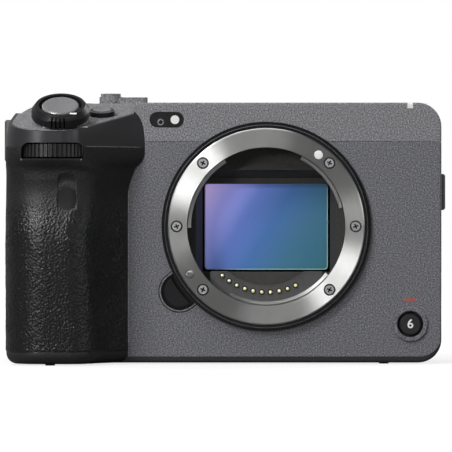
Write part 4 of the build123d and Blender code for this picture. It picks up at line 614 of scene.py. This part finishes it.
# Grained skins: real relief over the faces of one node, met by a grid of rays
def met_grid(owner, others, ray, rows, columns):
    """What each ray meets: the point, the normal towards it and its way, or None off the owner."""
    tree, owners = surfaces([owner, *others])
    grid = []
    for i in range(rows + 1):
        grid.append([])
        for j in range(columns + 1):
            start, way = ray(i / rows, j / columns)
            spot, normal, index, _ = tree.ray_cast(start * MM, way)
            if spot is None or owners[index] != owner:
                grid[-1].append(None)
            else:
                grid[-1].append((spot, normal if normal.dot(way) < 0 else -normal, way))
    return grid


def met_so_far(column):
    """For each cell, how many cells in a row were met up to it."""
    counts, count = [], 0
    for cell in column:
        count = count + 1 if cell else 0
        counts.append(count)
    return counts


def crease_lift(column, soften):
    """How far each point lies behind the mean of its neighbours, up to soften rows away."""
    sums = [Vector((0, 0, 0))]
    for cell in column:
        sums.append(sums[-1] + cell[0] if cell else sums[-1])
    lift = []
    before, after = met_so_far(column), met_so_far(column[::-1])[::-1]
    for i, cell in enumerate(column):
        k = min(before[i], after[i], soften + 1) - 1
        if k < 1:
            lift.append(0.0)
            continue
        mean = (sums[i + k + 1] - sums[i - k]) / (2 * k + 1)
        lift.append(max(0.0, (cell[0] - mean).dot(cell[2])))
    return lift


def depth_inside(grid):
    """0 off the owner, 1 and 2 in the first two cells from its edge, and 3 further inside."""
    rows, columns = len(grid) - 1, len(grid[0]) - 1
    depth = [[3 if cell else 0 for cell in line] for line in grid]
    for step in (1, 2):
        for i in range(rows + 1):
            for j in range(columns + 1):
                if depth[i][j] > step:
                    beside = [0]
                    if 0 < i < rows and 0 < j < columns:
                        line = depth[i]
                        beside = [depth[i + 1][j], depth[i - 1][j], line[j + 1], line[j - 1]]
                    if min(beside) < step:
                        depth[i][j] = step
    return depth


VALLEY = 0.32  # how far from a valley a pebble reaches its full height, in pebble sizes
SWELL = 6  # over how many pebbles their height changes
SKIN_BASE = 0.004  # how far the valleys stand over the solid
FLATTER = 0.5  # how much of the grain's height is lost at the top of its fade
WIDEST_CELL = 1.2  # a longer diagonal bridges a gap, and that cell is left out


def pebbles(point, size, height):
    """Height of a leather grain: rounded cells with narrow valleys between them."""
    near = noise.voronoi(point / (size * MM))[0]
    cell = min(1.0, (near[1] - near[0]) / VALLEY)
    swell = noise.noise(point / (SWELL * size * MM))
    return height * (cell * (2 - cell) * (0.8 + 0.35 * swell))


def skin(name, owner, others, ray, rows, columns, size, height, soften=0, fade=None):
    """A grained skin over the faces of one node that no other node hides from the rays.

    Its pebbles have that size and height, and get lower at its edges. It rounds hollow
    creases over soften rows to each side, and its grain gets flatter between the two
    heights of fade.
    """
    grid = met_grid(owner, others, ray, rows, columns)
    lift = [crease_lift([line[j] for line in grid], soften) for j in range(columns + 1)]
    depth = depth_inside(grid)
    number, verts = {}, []
    for i in range(rows + 1):
        for j in range(columns + 1):
            if grid[i][j]:
                spot, normal, way = grid[i][j]
                share = (depth[i][j] - 1) / 2
                if fade:
                    risen = (spot.z / MM - fade[0]) / (fade[1] - fade[0])
                    share *= 1 - FLATTER * min(1.0, max(0.0, risen))
                number[i, j] = len(verts)
                rise = normal * MM * (SKIN_BASE + share * pebbles(spot, size, height))
                verts.append((spot - way * lift[j][i] + rise) / MM)
    faces = []
    for i in range(rows):
        for j in range(columns):
            corners = [(i, j), (i, j + 1), (i + 1, j + 1), (i + 1, j)]
            if all(c in number for c in corners):
                face = tuple(number[c] for c in corners)
                diagonals = (verts[face[k]] - verts[face[k + 2]] for k in (0, 1))
                if max(line.length for line in diagonals) < WIDEST_CELL:
                    faces.append(face)
    return made(name, verts, faces, "grip_rubber", angle=NO_SHARP)


GRIP_TURN = (135, 356)  # the rays come from the rear left, round the front, to the right
GRAIN_LOW, GRAIN_TOP = 3.5, HEAD_Z - 0.05
THUMB_LEFT, THUMB_WIDTH = -64.2, 5.6
THUMB_LOW, THUMB_HEIGHT = 45.5, 16.5


def grip_ray(high, round_it):
    """A ray that comes in to the middle of the grip."""
    angle = GRIP_TURN[0] + (GRIP_TURN[1] - GRIP_TURN[0]) * round_it
    out = Vector((*polar(1.0, angle), 0))
    middle = Vector((*GRIP_CORE, GRAIN_LOW + (GRAIN_TOP - GRAIN_LOW) * high))
    return middle + out * 60, -out


def grip_skin():
    """The leather grain of the grip."""
    others = ["front_dial", "signal_windows", "strap_lugs", "grip_head", "front_cover"]
    skin(
        "grip_grain", "grip_rubber", others, grip_ray, rows=260, columns=440,
        size=0.78, height=0.26, soften=26, fade=(41.0, 49.0),
    )


def thumb_ray(high, across):
    """A ray from behind to the hollow of the thumb rest."""
    x, z = THUMB_LEFT + THUMB_WIDTH * across, THUMB_LOW + THUMB_HEIGHT * high
    return Vector((x, 80, z)), Vector((0, -1, 0))


def thumb_skin():
    """The grained pad in the hollow of the thumb rest."""
    skin("thumb_pad", "rear_cover", [], thumb_ray, rows=96, columns=36, size=0.85, height=0.22)


# Front
def mount_place(radius, angle):
    """A place on the face of the lens mount."""
    return LENS @ Matrix.Translation((*polar(radius, angle), 0))


def front_marks():
    """The index dot of the mount, and the front button's numeral and red bar."""
    index = mount_place(INDEX_ORBIT, INDEX_ANGLE)
    disc_piece("mount_index", 1.25, -0.1, 0.06, 0.08, "mark_white", index, segments=48)
    x, z = FRONT_BUTTON
    numeral("front_numeral", "6", 3.7, facing(x, FRONT_Y - 0.12, z, "front"), "front_button")
    above = facing(x, FRONT_Y, z + 7.1, "front")
    prism_piece("record_mark", box_outline(3.5, 0.8), -0.02, 0.04, "mark_red", above)


def mount_screws():
    """The dark gap round each screw of the mount and the cross in its head, both black as painted
    shade.
    """
    for i, angle in enumerate(SCREW_ANGLES):
        place = mount_place(SCREW_ORBIT, angle)
        # a black ring: painted shade of the gap round the screw
        gap = plain_ring(1.53, 1.72, -0.3, FLUSH)
        ring_piece(f"screw_gap_shade_{i}", gap, "deep_black", place, segments=40)
        # a black cross in the recess: painted shade
        cross, turn = cross_outline(1.56, 0.40), turned(angle + 20)
        prism_piece(f"screw_cross_shade_{i}", cross, -0.62, -0.30, "deep_black", place @ turn)


def glass_rims():
    """The bevelled rim of the sensor's glass, painted pale as a highlight, and the small lens in
    the pill window.
    """
    rim = pill_outline(SENSOR_W, SENSOR_H, 1.0)
    inner = pill_outline(SENSOR_W - 0.5, SENSOR_H - 0.5, 0.9)
    place = facing(0, SENSOR_Y, AXIS_Z, "front")
    hollow_piece("sensor_rim", rim, inner, -0.4, 0.05, "sensor_edge", place, "sensor_carriage")
    x, z = WINDOW_LENS
    place = facing(x, FRONT_Y, z, "front")
    rim = plain_ring(0.62, 0.95, -SINK, 0.05)
    ring_piece("window_lens_ring", rim, "edge_grey", place, segments=40)
    disc_piece("window_lens", 0.6, -SINK, 0.04, 0.15, "gloss_black", place)


def record_rings():
    """The collar round the record button, and a painted highlight round the collar's rim."""
    line = [(3.50, 1.45), (3.66, 1.45), (3.66, 1.52), (3.60, 1.56), (3.50, 1.56)]
    collar = [(2.88, -0.3), (3.67, -0.3), (3.67, 1.40), (3.55, 1.54), (3.0, 1.54), (2.88, 1.44)]
    # the pale ring on the collar's rim is a painted highlight
    ring_piece("record_rim_highlight", line, "edge_grey", RECORD, segments=64)
    ring_piece("record_collar", collar, "lever_black", RECORD, segments=64)


def grip_marks():
    """A white strip on the zoom lever, marks on the shelf, a painted highlight along the head's
    seam, a lip along the dial slot and painted glints at its ends.
    """
    tree, _ = surfaces(["zoom_lever", "top_cover", "grip_head", "grip_rubber"])
    stuck("lever_white_strip", tree, (-55.5, 72.15), (2.0, 0.8), "mark_white", "zoom_lever")
    stuck("shelf_mark_left", tree, (-64.0, 68.15), (0.9, 0.8), "mark_white")
    stuck("shelf_mark_right", tree, (-52.5, 68.35), (2.2, 0.7), "mark_white")
    # a painted highlight along the seam under the head
    seam = [(-51.9 + 0.9 * k, HEAD_Z - 0.06) for k in range(18)]
    ribbon("head_seam_highlight", tree, seam, "edge_grey")
    lip = [(DIAL_SLOT[0] + 0.1 + 0.7 * k, DIAL_SLOT_Z) for k in range(25)]
    ribbon("dial_lip", tree, lip, "satin_head", 0.12)
    # painted glints at the two ends of the dial slot
    for k, x in enumerate(DIAL_SLOT):
        at = (x, DIAL_SLOT_Z + 0.05)
        stuck(f"dial_glint_{k}", tree, at, (0.45, 0.4), "edge_grey", rise=0.2)


def release_lines():
    """Round the well of the lens release button: a light line, which is painted highlight, and a
    dark line outside it, which is painted shade.
    """
    place = facing(0, FRONT_Y, AXIS_Z, "front")
    # the pale strip is a painted highlight and the flat dark strip is painted shade
    for name, inner, outer, rise, material in (
        ("release_rim_highlight", 0.98, 1.12, 0.25, "edge_grey"),
        ("release_groove_shade", 1.26, 1.56, 0.0, "lever_black"),
    ):
        line = release_outline(outer) + release_outline(inner)[::-1]
        prism_piece(name, line, rise - SINK, rise + MARK_RISE, material, place)


def contact_tips():
    """The domed tips of the contacts, and the dark rims that they stand in."""
    dome = [(0.5, -0.1), (0.5, 0.0), (0.46, 0.12), (0.36, 0.26), (0.2, 0.36)]
    tip = [(NEAR_AXIS, -0.1), *dome, (NEAR_AXIS, 0.4)]
    rim = plain_ring(0.5, 0.8, -0.1, 0.03)
    for k in range(PIN_COUNT):
        x, z = polar(PIN_ORBIT, PIN_FIRST + PIN_PITCH * k)
        top, foot = (facing(x, y, AXIS_Z + z, "front") for y in (PIN_TOP_Y, CONTACT_Y))
        ring_piece(f"contact_tip_{k}", tip, "gilt", top, segments=24, angle=60)
        ring_piece(f"contact_rim_{k}", rim, "gloss_black", foot, segments=24)


def front_lines():
    """The painted highlight on the trim ring's bevel, and the light line where the grip meets the
    front cover.
    """
    tree, _ = surfaces(["mount_trim_ring"])
    spot, _ = seen_from_front(tree, TRIM_LINE_R, AXIS_Z)
    # a lighter metal ring laid on the trim ring: painted highlight
    line = plain_ring(TRIM_LINE_R - 0.10, TRIM_LINE_R + 0.08, -0.3, 0.03)
    place = facing(0, spot.y, AXIS_Z, "front")
    ring_piece("trim_highlight_ring", line, "dark_metal", place, segments=128)
    edge = facing(GRIP_JOIN + 0.12, FRONT_Y, 28.5, "front")
    prism_piece("grip_edge_line", box_outline(0.3, 45), -0.02, 0.05, "edge_grey", edge)


# All round
def screw(name, place, radius=1.25):
    """A small cross-head screw set into a cover; the black ring round it and the black cross on
    its head are painted shade.
    """
    # a black ring round the head: painted shade of the gap
    gap = plain_ring(radius, radius + 0.18, -0.2, FLUSH)
    ring_piece(f"{name}_gap", gap, "deep_black", place, segments=32)
    disc_piece(f"{name}_head", radius, -0.2, 0.05, 0.08, "dark_metal", place)
    # a flat black cross on the head: painted shade of its recess
    cross = cross_outline(radius * 1.15, radius * 0.3)
    prism_piece(f"{name}_cross", cross, 0.02, 0.056, "deep_black", place)


def cover_screws():
    """Screws that hold the covers together."""
    places = {
        "side_screw_low": (BODY_RIGHT, 4.6, 22.0, "right"),
        "side_screw_high": (BODY_RIGHT, 4.6, 57.0, "right"),
        "grip_screw_low": (GRIP_LEFT, 1.7, 15.0, "left"),
        "grip_screw_high": (GRIP_LEFT, 1.7, 52.0, "left"),
        "rear_screw_low": (-67.5, PANEL_Y, 10.0, "back"),
        "rear_screw_high": (-67.5, PANEL_Y, 31.0, "back"),
    }
    base = ((-26, -14), (26, -14), (-26, 19), (26, 19), (44, 2), (-42, 20))
    for i, (x, y) in enumerate(base):
        places[f"base_screw_{i}"] = (x, y, 0, "down")
    for name, spot in places.items():
        screw(name, facing(*spot))


# Back
def rear_place(at, rise=0.0):
    """A place on the back, at that x and z."""
    return facing(at[0], PANEL_Y + rise, at[1], "back")


def rear_icons():
    """Icons on the four buttons of the back."""
    place = rear_place(MENU_BUTTON, BUTTON_RISE)
    for k in range(3):
        white_mark(f"menu_bar_{k}", box_outline(2.2, 0.3, 0, 0.75 * (k - 1)), place, "menu_button")
    place = rear_place(FUNCTION_BUTTON, BUTTON_RISE)
    circle = plain_ring(0.6, 0.85, -SINK, MARK_RISE)
    ring_piece("function_mark", circle, "mark_white", place, "function_button", 32)
    place = rear_place(PLAY_BUTTON, BUTTON_RISE)
    white_mark("play_mark", [(-0.75, -0.95), (1.05, 0), (-0.75, 0.95)], place, "play_button")
    place = rear_place(DELETE_BUTTON, BUTTON_RISE)
    can = [(-0.6, -1.0), (0.6, -1.0), (0.8, 0.45), (-0.8, 0.45)]
    white_mark("delete_bin", can, place, "delete_button")
    white_mark("delete_lid", box_outline(2.1, 0.28, 0, 0.85), place, "delete_button")


def rear_controls():
    """Marks and groove of the control wheel, bumps of the joystick and border of the screen."""
    wheel = rear_place(WHEEL_AT)
    arrow = [(-0.6, -0.35), (0.6, -0.35), (0, 0.5)]
    for k in range(4):
        spot = wheel @ turned(90 * k) @ Matrix.Translation((0, 12.3, 0))
        white_mark(f"wheel_mark_{k}", arrow, spot)
    groove = plain_ring(8.9, 9.1, 1.3, 1.52)
    ring_piece("wheel_groove", groove, "edge_grey", wheel, "control_wheel")
    stick = facing(STICK_AT[0], STICK_Y, STICK_AT[1], "back")
    bump = [(NEAR_AXIS, -0.9), (0.42, -0.9), (0.42, 0.02), (0.28, 0.14), (NEAR_AXIS, 0.18)]
    for k in range(8):
        spot = stick @ Matrix.Translation((*polar(2.2, 45 * k), 0))
        ring_piece(f"stick_bump_{k}", bump, "soft_rubber", spot, "joystick_cap", 20)
    outer, inner = pill_outline(65.6, 48.7, 0.8), pill_outline(61.4, 41.4, 0.3)
    glass = rear_place(SCREEN_AT, BUTTON_RISE)
    hollow_piece("screen_border", outer, inner, -SINK, 0.02, "window_black", glass, "monitor")


# Top
def top_place(at, rise=0.0):
    """A place on the top, at that x and y."""
    return facing(at[0], at[1], BODY_TOP + rise, "up")


def thread_turns():
    """Turns at the mouths of the four threads."""
    turns = [(2.65, -0.5), (2.65, -4.5)]
    for k in range(5):
        low = -4.5 + 0.8 * k
        turns += [(2.58, low + 0.05), (2.28, low + 0.4), (2.58, low + 0.75)]
    for i, at in enumerate(TOP_BUSHES):
        ring_piece(f"thread_turns_{i}", turns, "screw_steel", top_place(at), segments=48)
    tripod = facing(0, 0, 0, "down")
    ring_piece("tripod_turns", turns, "screw_steel", tripod, segments=48)


def shoe_contacts():
    """Contacts on the floor of the accessory shoe."""
    tree, _ = surfaces(["accessory_shoe"])
    for k in range(5):
        x, y = 2.1 * (k - 2), 0.6
        spot, _, _, _ = tree.ray_cast(Vector((x, y, OUTSIDE)) * MM, Vector((0, 0, -1)))
        if spot:
            place = facing(x, y, spot.z / MM, "up")
            pad = pill_outline(1.2, 2.4, 0.3, steps=3)
            prism_piece(f"shoe_contact_{k}", pad, -SINK, MARK_RISE, "gilt", place)


def top_details():
    """Numerals, thread turns, shoe contacts, black dots of painted shade for the microphone holes,
    and marks on the top.
    """
    for i, at in enumerate(TOP_BUTTONS, 1):
        place = top_place(at, BUTTON_RISE + 0.02) @ turned(180)
        numeral(f"top_numeral_{i}", str(i), 3.0, place, f"top_button_{i}")
    thread_turns()
    shoe_contacts()
    # each microphone hole is a flat black dot: painted shade
    hole = [(NEAR_AXIS, -SINK), (0.42, -SINK), (0.42, 0.006), (NEAR_AXIS, 0.012)]
    for i, (x, y) in enumerate((x, y) for x in (-19.5, 19.5) for y in (4.0, 6.0, 8.0)):
        ring_piece(f"microphone_hole_shade_{i}", hole, "deep_black", top_place((x, y)), segments=20)
    for k, (angle, width) in enumerate(((0, 1.6), (35, 0.6))):
        spot = top_place(POWER_PIVOT) @ turned(angle) @ Matrix.Translation((12.6, 0, 0))
        white_mark(f"power_mark_{k}", box_outline(width, 0.5), spot, rise=0.02)
    plane = top_place((46.0, SENSOR_Y))
    circle = plain_ring(0.85, 1.05, -SINK, 0.015)
    ring_piece("plane_ring", circle, "mark_white", plane, segments=40)
    white_mark("plane_line", box_outline(3.6, 0.2), plane, rise=0.018)


# Sides
def side_details():
    """Moulded icons on the side covers and the printed one on the card door."""
    upper = facing(BODY_RIGHT, COVER_MIDDLE_Y, UPPER_COVER_Z, "right")
    circle, bar = plain_ring(1.35, 1.65, -SINK, ICON_RISE), box_outline(0.3, 2.2, 0, -2.9)
    ring_piece("upper_cover_ring", circle, "edge_grey", upper, "port_cover_upper", 40)
    prism_piece("upper_cover_bar", bar, -SINK, ICON_RISE, "edge_grey", upper, "port_cover_upper")
    lower = facing(BODY_RIGHT, COVER_MIDDLE_Y, LOWER_COVER_Z, "right")
    plug = [(2.2, 0.9), (2.2, -0.1), (1.5, -0.9), (-1.5, -0.9), (-2.2, -0.1), (-2.2, 0.9)]
    inset = [(1.9, 0.6), (1.9, 0.0), (1.35, -0.6), (-1.35, -0.6), (-1.9, 0.0), (-1.9, 0.6)]
    hollow_piece(
        "lower_cover_plug", plug, inset, -SINK, ICON_RISE, "edge_grey", lower, "port_cover_lower"
    )
    door = facing(GRIP_LEFT, *CARD_DOOR_AT, "left")
    white_mark("card_door_mark", [(-0.9, -0.8), (0.9, 0), (-0.9, 0.8)], door, "card_door")


front_marks()
mount_screws()
glass_rims()
record_rings()
grip_marks()
release_lines()
contact_tips()
front_lines()
cover_screws()
rear_icons()
rear_controls()
thumb_skin()
top_details()
side_details()
grip_skin()


# Floor, surround, lamps and camera
FLOOR_GLOW = 0.75  # the floor's glow near the object
GLOW_FROM, GLOW_TO = 0.15, 0.8  # distances in metres between which it rises to 1
WORLD_LEVEL = 0.08
BEHIND = 0.3  # how bright reflections show the part of the backdrop behind the object


def shown(tree, behind):
    """A strength of 1 for the camera and through glass, and of behind in reflections."""
    rays = tree.nodes.new("ShaderNodeLightPath")
    seen = worked_out(tree, "MULTIPLY", rays.outputs["Is Glossy Ray"], behind)
    for way in ("Is Transmission Ray", "Is Camera Ray"):
        seen = worked_out(tree, "MAXIMUM", rays.outputs[way], seen)
    return seen


def stage():
    """A pale floor that shows white to the camera and still takes the object's shadow."""
    size, z = 3.0, FEET_Z * MM
    mesh = bpy.data.meshes.new("floor")
    corners = [(-size, -size, z), (size, -size, z), (size, size, z), (-size, size, z)]
    mesh.from_pydata(corners, [], [(0, 1, 2, 3)])
    mat = bpy.data.materials.new("floor")
    mat.use_nodes = True
    tree = mat.node_tree
    shader = tree.nodes["Principled BSDF"]
    shader.inputs["Base Color"].default_value = (0.18, 0.18, 0.18, 1)
    shader.inputs["Roughness"].default_value = 0.9
    where = tree.nodes.new("ShaderNodeTexCoord").outputs["Object"]
    distance = vector_result(tree, "LENGTH", where, result="Value")
    more = rising(tree, distance, GLOW_FROM, GLOW_TO, 1 - FLOOR_GLOW)
    spread = worked_out(tree, "ADD", more, FLOOR_GLOW)
    behind = rising(tree, coordinate(tree, where, "Y"), 0.0, 0.3, BEHIND)
    glow = tree.nodes.new("ShaderNodeEmission")
    power = worked_out(tree, "MULTIPLY", shown(tree, behind), spread)
    tree.links.new(power, glow.inputs["Strength"])
    both = tree.nodes.new("ShaderNodeAddShader")
    feed(tree, both, (shader.outputs["BSDF"], glow.outputs["Emission"]))
    tree.links.new(both.outputs["Shader"], tree.nodes["Material Output"].inputs["Surface"])
    mesh.materials.append(mat)
    floor = bpy.data.objects.new("floor", mesh)
    bpy.context.scene.collection.objects.link(floor)


def world():
    """An even surround that the camera sees as white."""
    surround = bpy.data.worlds.new("surround")
    bpy.context.scene.world = surround
    surround.use_nodes = True
    tree = surround.node_tree
    back = tree.nodes["Background"]
    back.inputs["Color"].default_value = (1, 1, 1, 1)
    where = tree.nodes.new("ShaderNodeTexCoord").outputs["Generated"]
    behind = rising(tree, coordinate(tree, where, "Y"), 0.1, 0.6, BEHIND)
    strength = tree.nodes.new("ShaderNodeMix")
    strength.data_type = "FLOAT"
    strength.inputs["A"].default_value = WORLD_LEVEL
    strength.inputs["B"].default_value = 1.0
    tree.links.new(shown(tree, behind), strength.inputs["Factor"])
    tree.links.new(strength.outputs["Result"], back.inputs["Strength"])


AIM = (0, 0, 0.04)
LAMPS = {  # place, width, height and power
    "key": ((-0.46, -0.55, 0.59), 0.20, 0.20, 5.5),
    "left": ((-0.50, -0.86, 0.28), 0.20, 0.20, 3.5),
    "top": ((-0.10, -0.50, 1.15), 0.8, 0.35, 6.0),
    "fill": ((0.75, -1.15, 0.06), 0.35, 0.35, 1.0),
    "side": ((1.20, -0.62, 0.30), 0.35, 0.35, 2.2),
    "rear_right": ((0.95, 0.95, 0.45), 0.5, 0.4, 10.0),
    "rear_left": ((-0.80, 0.65, 1.00), 0.5, 0.4, 6.5),
}


def aimed(name, data, at, way):
    """Put a lamp or camera at a place, looking that way."""
    obj = bpy.data.objects.new(name, data)
    obj.location = at
    obj.rotation_mode = "QUATERNION"
    obj.rotation_quaternion = way.to_track_quat("-Z", "Y")
    bpy.context.scene.collection.objects.link(obj)
    return obj


def lamp(name, at, width, height, power):
    """A soft rectangular lamp aimed at the object."""
    light = bpy.data.lights.new(name, "AREA")
    light.shape = "RECTANGLE"
    light.size, light.size_y = width, height
    light.energy = power
    aimed(name, light, at, Vector(AIM) - Vector(at))


def camera():
    """The photograph's camera: level, far off, with the lens axis right of the middle."""
    distance, pixels_per_metre, frame_px = 1.5, 3438.0, 452
    axis_px = (266.2, 226.4)  # where the optical axis meets the picture
    data = bpy.data.cameras.new("camera")
    data.sensor_width = 36.0
    data.lens = pixels_per_metre * distance * data.sensor_width / frame_px
    data.shift_x = (frame_px / 2 - axis_px[0]) / frame_px
    data.shift_y = (axis_px[1] - frame_px / 2) / frame_px
    data.clip_start, data.clip_end = 0.1, 20.0
    at = (0, FLANGE_Y * MM - distance, AXIS_Z * MM)
    bpy.context.scene.camera = aimed("camera", data, at, Vector((0, 1, 0)))


stage()
world()
for name, (at, width, height, power) in LAMPS.items():
    lamp(name, at, width, height, power)
camera()
bpy.context.scene.view_settings.view_transform = "Standard"
